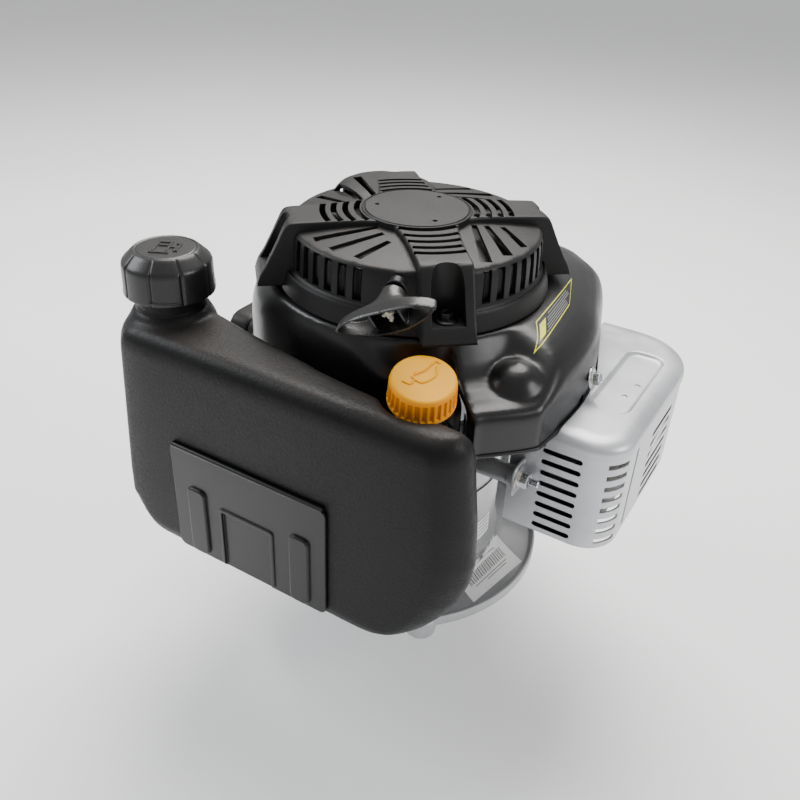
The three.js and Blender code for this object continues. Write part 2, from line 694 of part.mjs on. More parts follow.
add(
  "fuel_tank",
  cut(
    join(
      cut(tankSkin(0), scoop),
      bar(26, 200, 212, NECK),
      bar(22.5, 205, NECK_TOP, NECK),
      bar(4, 30, 50, { ...OUTLET, sides: 8 }),
    ),
    cut(tankSkin(TANK.wall), aim(bar(27, -25, 60, { sides: 14 }), [66, -98, 205], TUBE_DIRECTION)),
    bar(19, 200, NECK_TOP + 4, NECK),
    bar(2.2, 20, 52, { ...OUTLET, sides: 8 }),
  ),
  TANK_PLASTIC,
);
const CAP_LOBES = 9;
add("fuel_cap", cut(
  turned([
    [0, CAP.bottom], [CAP.radius - 1, CAP.bottom], [CAP.radius, CAP.bottom + 2],
    [CAP.radius - 1, CAP.top - 7], [CAP.radius - 7, CAP.top], [0, CAP.top],
  ], 36).translate(NECK.x, NECK.y, 0),
  bar(23.2, CAP.bottom - 1, NECK_TOP + 4, { ...NECK, sides: 28 }),
  Array.from({ length: CAP_LOBES }, (_, i) =>
    spun(bar(3, CAP.bottom + 6, CAP.top + 1, { x: CAP.radius + 1, sides: 8 }), (360 / CAP_LOBES) * i)
      .translate(NECK.x, NECK.y, 0)),
), BLACK_PLASTIC);
add("cap_gasket", ring(22.5, 17, NECK_TOP + 0.5, NECK_TOP + 3.6, { ...NECK, sides: 28 }), RUBBER);
add(
  "tank_bracket",
  join(
    block(-100, 30, TANK.front - 2.4, TANK.front - GAP, 56, 136),
    block(-100, 30, TANK.front - 4.4, TANK.front - GAP, 133, 136),
    [-78, 10].map((x) => block(x - 7, x + 7, TANK.front - 5, TANK.front - 2, 56, 104)),
    block(-58, -56, TANK.front - 4, TANK.front - 2, 56, 98),
    block(-15, -13, TANK.front - 4, TANK.front - 2, 56, 98),
    block(-58, -13, TANK.front - 4, TANK.front - 2, 96, 98),
  ),
  BLACK_PAINT,
);

// ---------------------------------------------------------------- oil filler
add("oil_tube", alongTube(join(
  ring(9, 6.6, -22, TUBE_LENGTH - 4, { sides: 14 }),
  ring(14.5, 6.6, TUBE_LENGTH - 26, TUBE_LENGTH - 3, { sides: 18 }),
)), BLACK_PLASTIC);
add("dipstick", alongTube(join(
  turned([
    [0, TUBE_LENGTH], [OIL_CAP_R, TUBE_LENGTH], [OIL_CAP_R, TUBE_LENGTH + OIL_CAP_HEIGHT - 4],
    [OIL_CAP_R - 2.5, TUBE_LENGTH + OIL_CAP_HEIGHT], [0, TUBE_LENGTH + OIL_CAP_HEIGHT],
  ], 24),
  bar(6.2, TUBE_LENGTH - 12, TUBE_LENGTH + 1, { sides: 14 }),
  bar(2, -18, TUBE_LENGTH, { sides: 8 }),
)), YELLOW_PLASTIC);
add("oil_cap_seal", alongTube(ring(12, 6.6, TUBE_LENGTH - 2.6, TUBE_LENGTH - GAP, { sides: 18 })), RUBBER);

// ---------------------------------------------------------------- exhaust
const guardOutline = (inset) => {
  const { left, right, front, back } = GUARD;
  const corner = (radius, y, from) =>
    [0, 18, 36, 54, 72, 90].map((step) => {
      const turn = THREE.MathUtils.degToRad(from + step);
      const reach = radius - inset;
      return [right - radius + reach * Math.cos(turn), y + reach * Math.sin(turn)];
    });
  return [
    [left - 30, front + inset], ...corner(22, front + 22, -90), ...corner(40, back - 40, 0),
    [left - 30, back - inset],
  ];
};
const guardSkin = (inset) =>
  lofted([
    guardOutline(inset).map(([x, y]) => [x, y, GUARD.bottom - inset]),
    guardOutline(inset).map(([x, y]) => [x, y, GUARD.top - 8]),
    guardOutline(inset + 6).map(([x, y]) => [x, y, GUARD.top - inset]),
  ]);
const GUARD_ROWS = 8;
const guardRows = Array.from({ length: GUARD_ROWS }, (_, i) => 168 - 8.4 * i);
const openLeft = block(GUARD.left - 40, GUARD.left, -100, 200, 80, 200);
add(
  "muffler_guard",
  cut(
    join(
      cut(guardSkin(0), guardSkin(SHEET), openLeft),
      block(BOSS.end + GAP, BOSS.end + GAP + 2, BOSS.y - 8, GUARD.front + 1, BOSS.z - 9, BOSS.z + 9),
    ),
    guardRows.map((z) => block(116, 140, GUARD.front - 5, GUARD.front + 5, z - 1.7, z + 1.7)),
    guardRows.map((z) => spun(block(-12, 12, -8, 8, z - 1.7, z + 1.7), 45).translate(168, -38, 0)),
    guardRows.map((z) => block(170, 180, 34, 96, z - 1.7, z + 1.7)),
    aim(bar(3.3, 100, 120, { sides: 8 }), [0, BOSS.y, BOSS.z], [1, 0, 0]),
    lofted([SKIRT_BOTTOM - GAP, GUARD.top + 5].map((z) => housingRing(z, 1, -1.5))),
  ),
  SILVER_PAINT,
);
add("guard_bolt", aim(screw(2.6, 12, 10, 5), [BOSS.end + GAP + 2 + GAP, BOSS.y, BOSS.z], [1, 0, 0]), ZINC);
add(
  "exhaust_gasket",
  cut(
    block(58.3, 59.3, 118, 146, EXHAUST.z - 14, EXHAUST.z + 14),
    aim(bar(9, 50, 70, { sides: 14 }), [0, EXHAUST.y, EXHAUST.z], [1, 0, 0]),
  ),
  GASKET,
);
const MUFFLER = { x: [112, 164], y: [-30, 112], z: [106, 168] };
const EXHAUST_ROUTE = [
  [62, EXHAUST.y, EXHAUST.z], [74, EXHAUST.y - 2, EXHAUST.z + 2], [90, 116, 108],
  [106, 100, 120], [120, 92, 128],
];
const mufflerBody = slab(roundedRectangle(...MUFFLER.x, ...MUFFLER.y, 16, 3), ...MUFFLER.z, 6);
add(
  "muffler",
  cut(
    join(
      mufflerBody,
      hose(EXHAUST_ROUTE, EXHAUST.r, 8, 12),
      block(59.6, 63.6, 118, 146, EXHAUST.z - 14, EXHAUST.z + 14),
    ),
    aim(bar(9, 55, 66, { sides: 14 }), [0, EXHAUST.y, EXHAUST.z], [1, 0, 0]),
    aim(bar(9, 150, 178, { sides: 14 }), [0, 60, 130], [1, 0, 0]),
  ),
  IRON,
);

// ---------------------------------------------------------------- intake side
const CARB = { x: -84, z: 92, front: 68, back: 104 };
const INTAKE_ROUTE = [
  [CARB.x, CARB.back + 4, CARB.z], [CARB.x + 1, 122, CARB.z], [-74, 133, CARB.z], [-61, EXHAUST.y, CARB.z],
];
add(
  "intake_manifold",
  cut(
    join(
      hose(INTAKE_ROUTE, 12, 8, 12),
      block(CARB.x - 14, CARB.x + 14, CARB.back + GAP, CARB.back + 6, CARB.z - 14, CARB.z + 14),
      block(-63, -58.4, 120, 148, CARB.z - 11, CARB.z + 14),
    ),
    bar(9, 0, 20, { sides: 10 }).rotateX(-Math.PI / 2).translate(CARB.x, CARB.back - 2, CARB.z),
  ),
  BLACK_PLASTIC,
);
const alongCarb = (shape, y) => aim(shape, [CARB.x, y, CARB.z], [0, 1, 0]);
const THROTTLE = { x: CARB.x, y: 92 };
const CHOKE = { x: CARB.x, y: 76 };
add(
  "carburettor",
  cut(
    join(
      alongCarb(bar(15, 0, CARB.back - CARB.front), CARB.front),
      block(CARB.x - 14, CARB.x + 14, CARB.back - 5, CARB.back, CARB.z - 14, CARB.z + 14),
      bar(17, 62, 86, { x: CARB.x, y: 86, sides: 14 }),
      block(CARB.x - 15, CARB.x + 15, 72, 100, 80, CARB.z + 4),
      bar(5, 100, 116, THROTTLE),
      bar(5, 100, 112, CHOKE),
    ),
    alongCarb(bar(9, -1, CARB.back - CARB.front + 1), CARB.front),
    bar(2.8, 90, 120, { ...THROTTLE, sides: 8 }),
    bar(2.8, 90, 120, { ...CHOKE, sides: 8 }),
  ),
  CAST,
);
const LINK_Z = 158;
const LINK_R = 18; // both ends of the governor link turn at this radius
const leverTo = (pivot, angle, r, z) => {
  const end = around(angle, r);
  return join(
    bar(4.5, z, z + 2, { ...pivot, sides: 8 }),
    spun(block(0, r, -2.5, 2.5, z, z + 2), angle).translate(pivot.x, pivot.y, 0),
    bar(3.2, z, z + 2, { x: pivot.x + end.x, y: pivot.y + end.y, sides: 8 }),
  );
};
const LEVER_ANGLE = 150;
add(
  "throttle_lever",
  join(
    bar(2.3, 96, LINK_Z - 2, { ...THROTTLE, sides: 8 }),
    leverTo(THROTTLE, LEVER_ANGLE, LINK_R, LINK_Z - 4),
  ),
  ZINC,
);
add(
  "choke_lever",
  join(bar(2.3, 96, 116, { ...CHOKE, sides: 8 }), leverTo(CHOKE, 200, 16, 114)),
  ZINC,
);
const SPRING_END = around(-100, 24);
add(
  "governor_arm",
  join(
    bar(3, 143, LINK_Z - 2, { ...GOVERNOR, sides: 8 }),
    leverTo(GOVERNOR, LEVER_ANGLE, LINK_R, LINK_Z - 4),
    leverTo(GOVERNOR, -100, 24, LINK_Z - 4),
  ),
  ZINC,
);
const linkEnd = around(LEVER_ANGLE, LINK_R);
const linkFrom = { x: GOVERNOR.x + linkEnd.x, y: GOVERNOR.y + linkEnd.y };
const linkTo = { x: THROTTLE.x + linkEnd.x, y: THROTTLE.y + linkEnd.y };
const linkLength = Math.hypot(linkTo.x - linkFrom.x, linkTo.y - linkFrom.y);
add(
  "governor_link",
  aim(
    bar(1.2, 0, linkLength, { sides: 8 }),
    [linkFrom.x, linkFrom.y, LINK_Z],
    [linkTo.x - linkFrom.x, linkTo.y - linkFrom.y, 0],
  ),
  STEEL,
);
const CONTROL = { x: -84, y: -24 };
add(
  "control_plate",
  cut(
    join(
      slab([[-98, -34], [-66, -34], [-60, 8], [-92, 8]], CASE_TOP + GAP, CASE_TOP + 2.3),
      block(-118, -90, -34, -26, CASE_TOP + GAP, CASE_TOP + 2.3),
      block(-118, -115, -34, -26, CASE_TOP + GAP, CASE_TOP + 9),
    ),
    bar(2.4, 140, 160, { ...CONTROL, sides: 8 }),
  ),
  ZINC,
);
add(
  "control_lever",
  join(
    bar(2.1, CASE_TOP + 0.6, CASE_TOP + 6, { ...CONTROL, sides: 8 }),
    leverTo(CONTROL, 100, 16, CASE_TOP + 4),
    leverTo(CONTROL, 215, 26, CASE_TOP + 4),
  ),
  BLACK_PAINT,
);
const springFrom = [GOVERNOR.x + SPRING_END.x, GOVERNOR.y + SPRING_END.y, LINK_Z + 0.6];
const hookAt = around(100, 16);
const springTo = [CONTROL.x + hookAt.x, CONTROL.y + hookAt.y, LINK_Z + 0.6];
add(
  "governor_spring",
  aim(
    bar(2.2, 2, Math.hypot(springTo[0] - springFrom[0], springTo[1] - springFrom[1]) - 2, { sides: 10 }),
    springFrom,
    springTo.map((v, i) => v - springFrom[i]),
  ),
  STEEL,
);

// ---------------------------------------------------------------- air cleaner
const AIR = { x: [-152, -108], y: [-22, 90], z: [90, 166] };
const AIR_SPLIT = -132;
const airPlan = (grow) =>
  roundedRectangle(AIR.y[0] - grow, AIR.y[1] + grow, AIR.z[0] - grow, AIR.z[1] + grow, 12, 3);
// An outline in Y and Z pushed along X.
const alongX = (outline, x0, x1, round = 0) =>
  slab(outline, x0, x1, round).rotateZ(Math.PI / 2).rotateY(Math.PI / 2);
const SNORKEL_Y = 56;
const SNORKEL_ROUTE = [
  [-110, SNORKEL_Y, CARB.z + 10], [-98, SNORKEL_Y, CARB.z + 4], [CARB.x - 1, SNORKEL_Y + 2, CARB.z],
  [CARB.x, 63, CARB.z], [CARB.x, CARB.front - GAP, CARB.z],
];
add(
  "air_cleaner_base",
  cut(
    join(
      alongX(airPlan(0), AIR_SPLIT, AIR.x[1], 0),
      hose(SNORKEL_ROUTE, 11, 8, 12),
    ),
    alongX(airPlan(-2.5), AIR_SPLIT - 1, AIR.x[1] - 3),
  ),
  BLACK_PLASTIC,
);
add("air_filter", alongX(airPlan(-5), AIR_SPLIT + 2, AIR.x[1] - 5), FOAM);
const KNOB = { y: 34, z: 128 };
add(
  "air_cleaner_cover",
  cut(
    alongX(airPlan(0), AIR.x[0], AIR_SPLIT - GAP, 4),
    alongX(airPlan(-2.5), AIR.x[0] + 3, AIR_SPLIT + 1),
    aim(bar(3.4, 120, 160, { sides: 8 }), [0, KNOB.y, KNOB.z], [-1, 0, 0]),
  ),
  BLACK_PLASTIC,
);
add(
  "air_cleaner_knob",
  aim(
    join(
      bar(12, -AIR.x[0] + GAP, -AIR.x[0] + 9, { sides: 8 }),
      bar(3, -AIR_SPLIT - 1, -AIR.x[0] + 2, { sides: 8 }),
    ),
    [0, KNOB.y, KNOB.z],
    [-1, 0, 0],
  ),
  BLACK_PLASTIC,
);

// ---------------------------------------------------------------- fuel hose
const FUEL_ROUTE = [
  [OUTLET.x, OUTLET.y, 28.6], [OUTLET.x, OUTLET.y + 1, 24], [OUTLET.x - 2, OUTLET.y + 10, 18],
  [-122, -62, 24], [-122, -20, 50], [-118, 30, 72], [-114, 66, 76], [-108, 82, 74], [CARB.x - 20, 86, 74],
];
add("fuel_hose", hose(FUEL_ROUTE, 4.2, 18, 8), RUBBER);

export default engine;
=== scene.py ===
import json
import math

import bmesh
import bpy
from bpy.props import FloatProperty, FloatVectorProperty, IntProperty, PointerProperty
from mathutils import Matrix, Vector


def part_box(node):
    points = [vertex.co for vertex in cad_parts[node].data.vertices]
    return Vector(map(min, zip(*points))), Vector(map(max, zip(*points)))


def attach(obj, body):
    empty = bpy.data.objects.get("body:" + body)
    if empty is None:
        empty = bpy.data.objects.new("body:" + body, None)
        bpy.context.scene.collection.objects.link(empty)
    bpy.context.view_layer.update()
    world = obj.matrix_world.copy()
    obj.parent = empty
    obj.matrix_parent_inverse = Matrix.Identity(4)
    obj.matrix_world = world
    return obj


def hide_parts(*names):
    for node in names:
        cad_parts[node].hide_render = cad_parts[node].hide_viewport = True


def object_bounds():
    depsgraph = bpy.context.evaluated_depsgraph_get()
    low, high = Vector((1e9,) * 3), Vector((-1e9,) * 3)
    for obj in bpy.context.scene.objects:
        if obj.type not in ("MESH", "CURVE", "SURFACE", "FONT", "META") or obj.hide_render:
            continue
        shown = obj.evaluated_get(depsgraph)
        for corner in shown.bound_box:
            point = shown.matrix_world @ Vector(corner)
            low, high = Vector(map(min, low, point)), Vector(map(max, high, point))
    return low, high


bl_info = {
    "name": "Small petrol engine",
    "version": (1, 0, 0),
    "blender": (4, 5, 0),
    "location": "3D View > Sidebar > Engine",
    "description": "Builds the pieces and finishes of a vertical-shaft petrol engine around its fixed frame",
    "category": "Object",
}

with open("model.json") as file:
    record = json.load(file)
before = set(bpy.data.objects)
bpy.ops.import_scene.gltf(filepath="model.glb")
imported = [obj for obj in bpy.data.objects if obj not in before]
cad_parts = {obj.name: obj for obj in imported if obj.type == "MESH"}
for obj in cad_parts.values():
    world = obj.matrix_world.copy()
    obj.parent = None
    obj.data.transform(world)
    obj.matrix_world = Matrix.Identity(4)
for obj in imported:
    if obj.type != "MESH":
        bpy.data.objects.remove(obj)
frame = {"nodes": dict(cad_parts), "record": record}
FRAME_BOX = [list(corner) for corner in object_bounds()]
MM = 0.001  # every length below is written in millimetres

# ---------------------------------------------------------------- places taken from the frame
COVER_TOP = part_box("starter_cover")[1].z / MM
TANK_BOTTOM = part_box("fuel_tank")[0].z / MM + 10
CAP_LOW, CAP_HIGH = (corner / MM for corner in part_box("fuel_cap"))
NECK_TOP = CAP_LOW.z + 13
NECK = Vector(((CAP_LOW.x + CAP_HIGH.x) / 2, (CAP_LOW.y + CAP_HIGH.y) / 2))
TUBE_TOP = Vector((66, -100, 208))
TUBE_WAY = Vector((0.152, -0.229, 0.961)).normalized()
TUBE_LENGTH = 156
PULL_START = Vector((40, -90, 268))
PULL_WAY = Vector((0.33, -0.9, -0.28)).normalized()
ARM_ANGLES = [-48, 42, 132, 222]
SECTOR_ANGLES = [-3, 87, 177, -93]
WELL_FLOOR = 244.5
SCREW_CIRCLE = 92
LIP_Z = 177
BOSS = Vector((114.6, -52, 142))
HOUSING_BOLT = Vector((131.9, 8, 192))
HOUSING_OUTLINE = [
    (-42, -88), (-20, -93), (8, -95), (35, -91), (66, -71), (96, -94), (102, -91), (124, -68),
    (128, -57), (131, -12), (127, 28), (116, 64), (104, 100), (94, 122), (80, 137), (58, 152),
    (14, 155), (-30, 154), (-58, 146), (-78, 130), (-95, 94), (-106, 56), (-113, 4), (-108, -32),
    (-94, -58), (-72, -77),
]
TANK_OUTLINE = [
    (-138, -140), (-60, -140), (20, -140), (88, -140), (104, -137), (114, -128), (117, -119),
    (113, -111), (100, -110), (47, -109), (-22, -99), (-74, -88), (-104, -80), (-136, -80),
    (-156, -90), (-166, -106), (-165, -120), (-154, -134),
]


# ---------------------------------------------------------------- sizes and colours
class CoverSizes(bpy.types.PropertyGroup):
    """Starter cover, its slots and its screws."""

    wall: FloatProperty(name="Wall", description="Thickness of the moulded cover", default=0.002, unit="LENGTH")
    arc_slot: FloatProperty(name="Arc slot", description="Width of a curved slot", default=0.0038, unit="LENGTH")
    side_slots: IntProperty(name="Side slots", description="Upright slots between two arms", default=8)
    side_slot: FloatProperty(name="Side slot", description="Width of an upright slot", default=0.006, unit="LENGTH")
    well: FloatProperty(name="Screw well", description="Half width of a screw well", default=0.0100, unit="LENGTH")


class BodySizes(bpy.types.PropertyGroup):
    """Housing, tank, caps and guard."""

    skin: FloatProperty(name="Sheet", description="Thickness of the pressed housing", default=0.0018, unit="LENGTH")
    voxel: FloatProperty(name="Fillet grain", description="Voxel that melts pressed and blown corners",
                         default=0.0018, unit="LENGTH")
    cap_lobes: IntProperty(name="Fuel cap grooves", description="Grooves round the fuel cap", default=9)
    oil_ribs: IntProperty(name="Oil cap ribs", description="Ribs round the oil cap", default=30)
    guard_rows: IntProperty(name="Guard rows", description="Rows of slots in the muffler guard", default=8)
    guard_pitch: FloatProperty(name="Guard pitch", description="Distance between two rows", default=0.0084,
                               unit="LENGTH")


class EngineColours(bpy.types.PropertyGroup):
    """Colours of the finishes."""

    cover: FloatVectorProperty(name="Cover", description="Satin moulded cover", subtype="COLOR", size=3,
                               default=(0.009, 0.0087, 0.0087))
    paint: FloatVectorProperty(name="Housing paint", description="Gloss black paint", subtype="COLOR", size=3,
                               default=(0.005, 0.005, 0.005))
    tank: FloatVectorProperty(name="Tank", description="Blown tank plastic", subtype="COLOR", size=3,
                              default=(0.004, 0.004, 0.0042))
    oil_cap: FloatVectorProperty(name="Oil cap", description="Yellow moulding", subtype="COLOR", size=3,
                                 default=(0.80, 0.37, 0.0))
    guard: FloatVectorProperty(name="Guard", description="Silver paint", subtype="COLOR", size=3,
                               default=(0.50, 0.51, 0.53))
    casting: FloatVectorProperty(name="Casting", description="Cast aluminium", subtype="COLOR", size=3,
                                 default=(0.42, 0.425, 0.435))


# ---------------------------------------------------------------- shader arithmetic
class Wire:
    """A number socket that can be used in Python arithmetic."""

    def __init__(self, finish, socket):
        self.finish = finish
        self.socket = socket

    def combine(self, operation, first, second):
        made = self.finish.node("ShaderNodeMath", {"operation": operation}, {0: first, 1: second})
        return Wire(self.finish, made.outputs[0])

    def __add__(self, other):
        return self.combine("ADD", self, other)

    def __radd__(self, other):
        return self.combine("ADD", other, self)

    def __sub__(self, other):
        return self.combine("SUBTRACT", self, other)

    def __rsub__(self, other):
        return self.combine("SUBTRACT", other, self)

    def __mul__(self, other):
        return self.combine("MULTIPLY", self, other)

    def __rmul__(self, other):
        return self.combine("MULTIPLY", other, self)

    def __pow__(self, other):
        return self.combine("POWER", self, other)


class Finish:
    """A node material under construction."""

    def __init__(self, name):
        self.material = bpy.data.materials.new(name)
        self.material.use_nodes = True
        self.tree = self.material.node_tree
        self.tree.nodes.clear()
        self.output = self.node("ShaderNodeOutputMaterial")
        self.place = self.node("ShaderNodeTexCoord").outputs["Object"]

    def node(self, kind, settings=None, sockets=None, stops=None):
        made = self.tree.nodes.new(kind)
        for name, value in (settings or {}).items():
            setattr(made, name, value)
        if stops:
            ramp = made.color_ramp
            while len(ramp.elements) < len(stops):
                ramp.elements.new(0.5)
            for element, (position, colour) in zip(ramp.elements, stops):
                element.position = position
                element.color = (*colour, 1)
        for name, value in (sockets or {}).items():
            target = made.inputs[name]
            if isinstance(value, Wire):
                self.tree.links.new(value.socket, target)
            elif isinstance(value, bpy.types.NodeSocket):
                self.tree.links.new(value, target)
            else:
                target.default_value = value
        return made

    def noise(self, scale, detail=3.0, roughness=0.55, vector=None, stretch=None):
        place = vector or self.place
        if stretch:
            place = self.node("ShaderNodeMapping", {}, {"Vector": place, "Scale": stretch}).outputs[0]
        made = self.node("ShaderNodeTexNoise", {}, {
            "Vector": place, "Scale": scale, "Detail": detail, "Roughness": roughness})
        return Wire(self, made.outputs[0])

    def cells(self, scale, feature="F1"):
        made = self.node("ShaderNodeTexVoronoi", {"feature": feature}, {"Vector": self.place, "Scale": scale})
        return Wire(self, made.outputs["Distance"])

    def upward(self):
        normal = self.node("ShaderNodeNewGeometry").outputs["Normal"]
        parts = self.node("ShaderNodeSeparateXYZ", {}, {0: normal})
        return Wire(self, parts.outputs[2])

    def between(self, value, low, high, out_low=0.0, out_high=1.0):
        made = self.node("ShaderNodeMapRange", {"interpolation_type": "SMOOTHSTEP"}, {
            "Value": value, "From Min": low, "From Max": high, "To Min": out_low, "To Max": out_high})
        return Wire(self, made.outputs[0])

    def blend(self, factor, first, second):
        made = self.node("ShaderNodeMix", {"data_type": "RGBA"}, {"Factor": factor})
        for socket, value in ((made.inputs[6], first), (made.inputs[7], second)):
            if isinstance(value, bpy.types.NodeSocket):
                self.tree.links.new(value, socket)
            else:
                socket.default_value = (*value, 1)
        return made.outputs[2]

    def close(self, colour, roughness, height=None, depth=0.0, edge=0.0, fixed=None):
        shader = self.node("ShaderNodeBsdfPrincipled", {}, fixed or {})
        if isinstance(colour, bpy.types.NodeSocket):
            self.tree.links.new(colour, shader.inputs["Base Color"])
        else:
            shader.inputs["Base Color"].default_value = (*colour, 1)
        if isinstance(roughness, Wire):
            self.tree.links.new(roughness.socket, shader.inputs["Roughness"])
        else:
            shader.inputs["Roughness"].default_value = roughness
        rounded = None
        if edge:
            rounded = self.node("ShaderNodeBevel", {"samples": 4}, {"Radius": edge}).outputs[0]
        if height is not None:
            bump = self.node("ShaderNodeBump", {}, {"Distance": depth, "Strength": 1.0, "Height": height})
            if rounded:
                self.tree.links.new(rounded, bump.inputs["Normal"])
            rounded = bump.outputs[0]
        if rounded:
            self.tree.links.new(rounded, shader.inputs["Normal"])
        self.tree.links.new(shader.outputs[0], self.output.inputs[0])
        return self.material


def shade(colour, factor):
    return tuple(min(1.0, channel * factor) for channel in colour)


def moulded(name, colour, smooth, rough, grain=900, depth=0.00006, edge=0.0006, dust_and_sheen=0.0, specular=0.5):
    """Injection-moulded or blown plastic with a fine grain, and upward faces tinted brownish: part settled dust, part
    painted sheen.
    """
    finish = Finish(name)
    patches = finish.noise(14, 4)
    fine = finish.noise(grain, 2, 0.6)
    tone = finish.blend(finish.between(patches, 0.35, 0.7), shade(colour, 0.82), shade(colour, 1.2))
    if dust_and_sheen:
        # Upward faces are tinted brownish: part settled dust, part a painted sheen of the overhead light.
        settled = finish.between(finish.upward(), 0.55, 1.0) * finish.between(patches, 0.25, 0.75, 0.5, 1.0)
        tone = finish.blend(settled * dust_and_sheen, tone, (0.19, 0.165, 0.145))
    roughness = finish.between(fine + patches * 0.5, 0.35, 1.1, smooth, rough)
    height = fine + patches * 0.4
    return finish.close(tone, roughness, height, depth, edge, {"IOR": 1.5, "Specular IOR Level": specular})


def painted(name, colour, smooth, rough, metallic=0.0, coat=0.5, flake=0.0, specular=0.5):
    """Sprayed paint with slight orange peel, and metal flake when asked."""
    finish = Finish(name)
    peel = finish.noise(260, 2, 0.5)
    wear = finish.noise(22, 5, 0.6)
    tone = finish.blend(finish.between(wear, 0.3, 0.75), shade(colour, 0.88), shade(colour, 1.1))
    if flake:
        sparkle = finish.between(finish.cells(2600), 0.05, 0.4, 1.0, 0.0)
        tone = finish.blend(sparkle * flake, tone, shade(colour, 1.45))
    roughness = finish.between(wear + peel * 0.3, 0.35, 0.95, smooth, rough)
    return finish.close(tone, roughness, peel, 0.00004, 0.0007, {
        "Metallic": metallic, "Coat Weight": coat, "Coat Roughness": 0.25, "Specular IOR Level": specular})


def cast(name, colour, smooth, rough, metallic=0.8, pits=0.0001, scale=800, stain=0.22):
    """Cast metal: sandy skin, pits and darker stains."""
    finish = Finish(name)
    sand = finish.noise(scale, 4, 0.65)
    cloud = finish.noise(18, 5, 0.6)
    clean = finish.blend(finish.between(sand, 0.35, 0.65), shade(colour, 0.9), shade(colour, 1.08))
    tone = finish.blend(finish.between(cloud, 0.5, 0.78, 0.0, stain), clean, shade(colour, 0.35))
    roughness = finish.between(cloud + sand * 0.4, 0.4, 1.0, smooth, rough)
    return finish.close(tone, roughness, sand + finish.cells(900) * 0.5, pits, 0.0008, {"Metallic": metallic})


def machined(name, colour, smooth, rough, stretch=(1, 1, 14)):
    """Turned or rolled metal with fine marks along one way."""
    finish = Finish(name)
    marks = finish.noise(700, 3, 0.6, stretch=stretch)
    cloud = finish.noise(40, 4)
    tone = finish.blend(finish.between(cloud, 0.35, 0.7), shade(colour, 0.85), shade(colour, 1.1))
    roughness = finish.between(marks, 0.3, 0.7, smooth, rough)
    return finish.close(tone, roughness, marks, 0.00003, 0.0004, {"Metallic": 0.95})


def plated(name):
    """Bright zinc with the yellow and blue tints of its passivation."""
    finish = Finish(name)
    cloud = finish.noise(90, 4, 0.6)
    tint = finish.node("ShaderNodeValToRGB", {}, {"Fac": cloud}, stops=[
        (0.3, (0.50, 0.47, 0.40)), (0.5, (0.66, 0.67, 0.68)), (0.72, (0.52, 0.56, 0.64))]).outputs[0]
    scratches = finish.noise(1200, 2, 0.6)
    return finish.close(tint, finish.between(scratches, 0.3, 0.7, 0.18, 0.36), scratches, 0.00003, 0.0004,
                        {"Metallic": 0.95})


def soft_rubber(name):
    """Matt rubber with a bloom of fine dust."""
    finish = Finish(name)
    bloom = finish.noise(60, 5, 0.65)
    skin = finish.noise(1400, 2)
    tone = finish.blend(finish.between(bloom, 0.4, 0.8), (0.010, 0.010, 0.010), (0.032, 0.031, 0.030))
    return finish.close(tone, finish.between(bloom, 0.3, 0.8, 0.55, 0.82), skin + bloom, 0.00008, 0.0004)


def fibre(name):
    """Pressed gasket fibre."""
    finish = Finish(name)
    strands = finish.noise(900, 5, 0.7, stretch=(1, 5, 1))
    tone = finish.blend(finish.between(strands, 0.3, 0.7), (0.05, 0.05, 0.048), (0.15, 0.145, 0.135))
    return finish.close(tone, 0.85, strands, 0.0001)


def open_foam(name):
    """Open-cell filter foam."""
    finish = Finish(name)
    pores = finish.cells(750)
    tone = finish.blend(finish.between(pores, 0.1, 0.7), (0.012, 0.012, 0.013), (0.075, 0.078, 0.085))
    return finish.close(tone, 0.95, pores, 0.0008)


def braided(name):
    """Braided starter cord."""
    finish = Finish(name)
    ply = finish.noise(1500, 3, 0.6, stretch=(1, 1, 3))
    cloud = finish.noise(120, 3)
    tone = finish.blend(finish.between(ply + cloud * 0.6, 0.5, 1.1), (0.30, 0.25, 0.17), (0.72, 0.66, 0.54))
    return finish.close(tone, 0.88, ply, 0.0003)


def yellow_moulding(name, colour):
    """Glossy yellow plastic that darkens to orange low on its side: painted shade on the sides, painted light on the
    top.
    """
    finish = Finish(name)
    cloud = finish.noise(60, 3)
    fine = finish.noise(1300, 2)
    # Painted shade: faces turned sideways are darkened to orange, while upward faces get the painted lit yellow.
    painted_light_share = finish.between(finish.upward(), 0.25, 0.9)
    lit = finish.blend(cloud, shade(colour, 0.97), shade(colour, 1.05))
    tone = finish.blend(painted_light_share, (colour[0] * 0.95, colour[1] * 0.72, 0), lit)
    return finish.close(tone, finish.between(fine + cloud, 0.6, 1.4, 0.34, 0.46), fine, 0.00003, 0.0005,
                        {"IOR": 1.45, "Specular IOR Level": 0.14})


def glazed(name):
    """Glazed insulator with faint speckle."""
    finish = Finish(name)
    specks = finish.cells(900)
    tone = finish.blend(finish.between(specks, 0.0, 0.12), (0.55, 0.53, 0.48), (0.84, 0.83, 0.79))
    wear = finish.noise(200, 3)
    return finish.close(tone, finish.between(wear, 0.3, 0.7, 0.12, 0.3), wear, 0.00003, 0.0004)


def printed(name, colour, ink=0.0):
    """Paper or film print, slightly worn."""
    finish = Finish(name)
    scuffs = finish.noise(300, 5, 0.65)
    tone = finish.blend(finish.between(scuffs, 0.45, 0.8, 0.0, 0.6), colour, shade(colour, 0.62 + ink))
    return finish.close(tone, finish.between(scuffs, 0.3, 0.7, 0.28, 0.5), scuffs, 0.00002)


def bare_floor(name):
    """Pale studio floor."""
    finish = Finish(name)
    cloud = finish.noise(3, 3)
    tone = finish.blend(cloud, (0.95, 0.95, 0.95), (0.98, 0.98, 0.98))
    return finish.close(tone, finish.between(cloud, 0.3, 0.7, 0.6, 0.75), cloud, 0.00005)


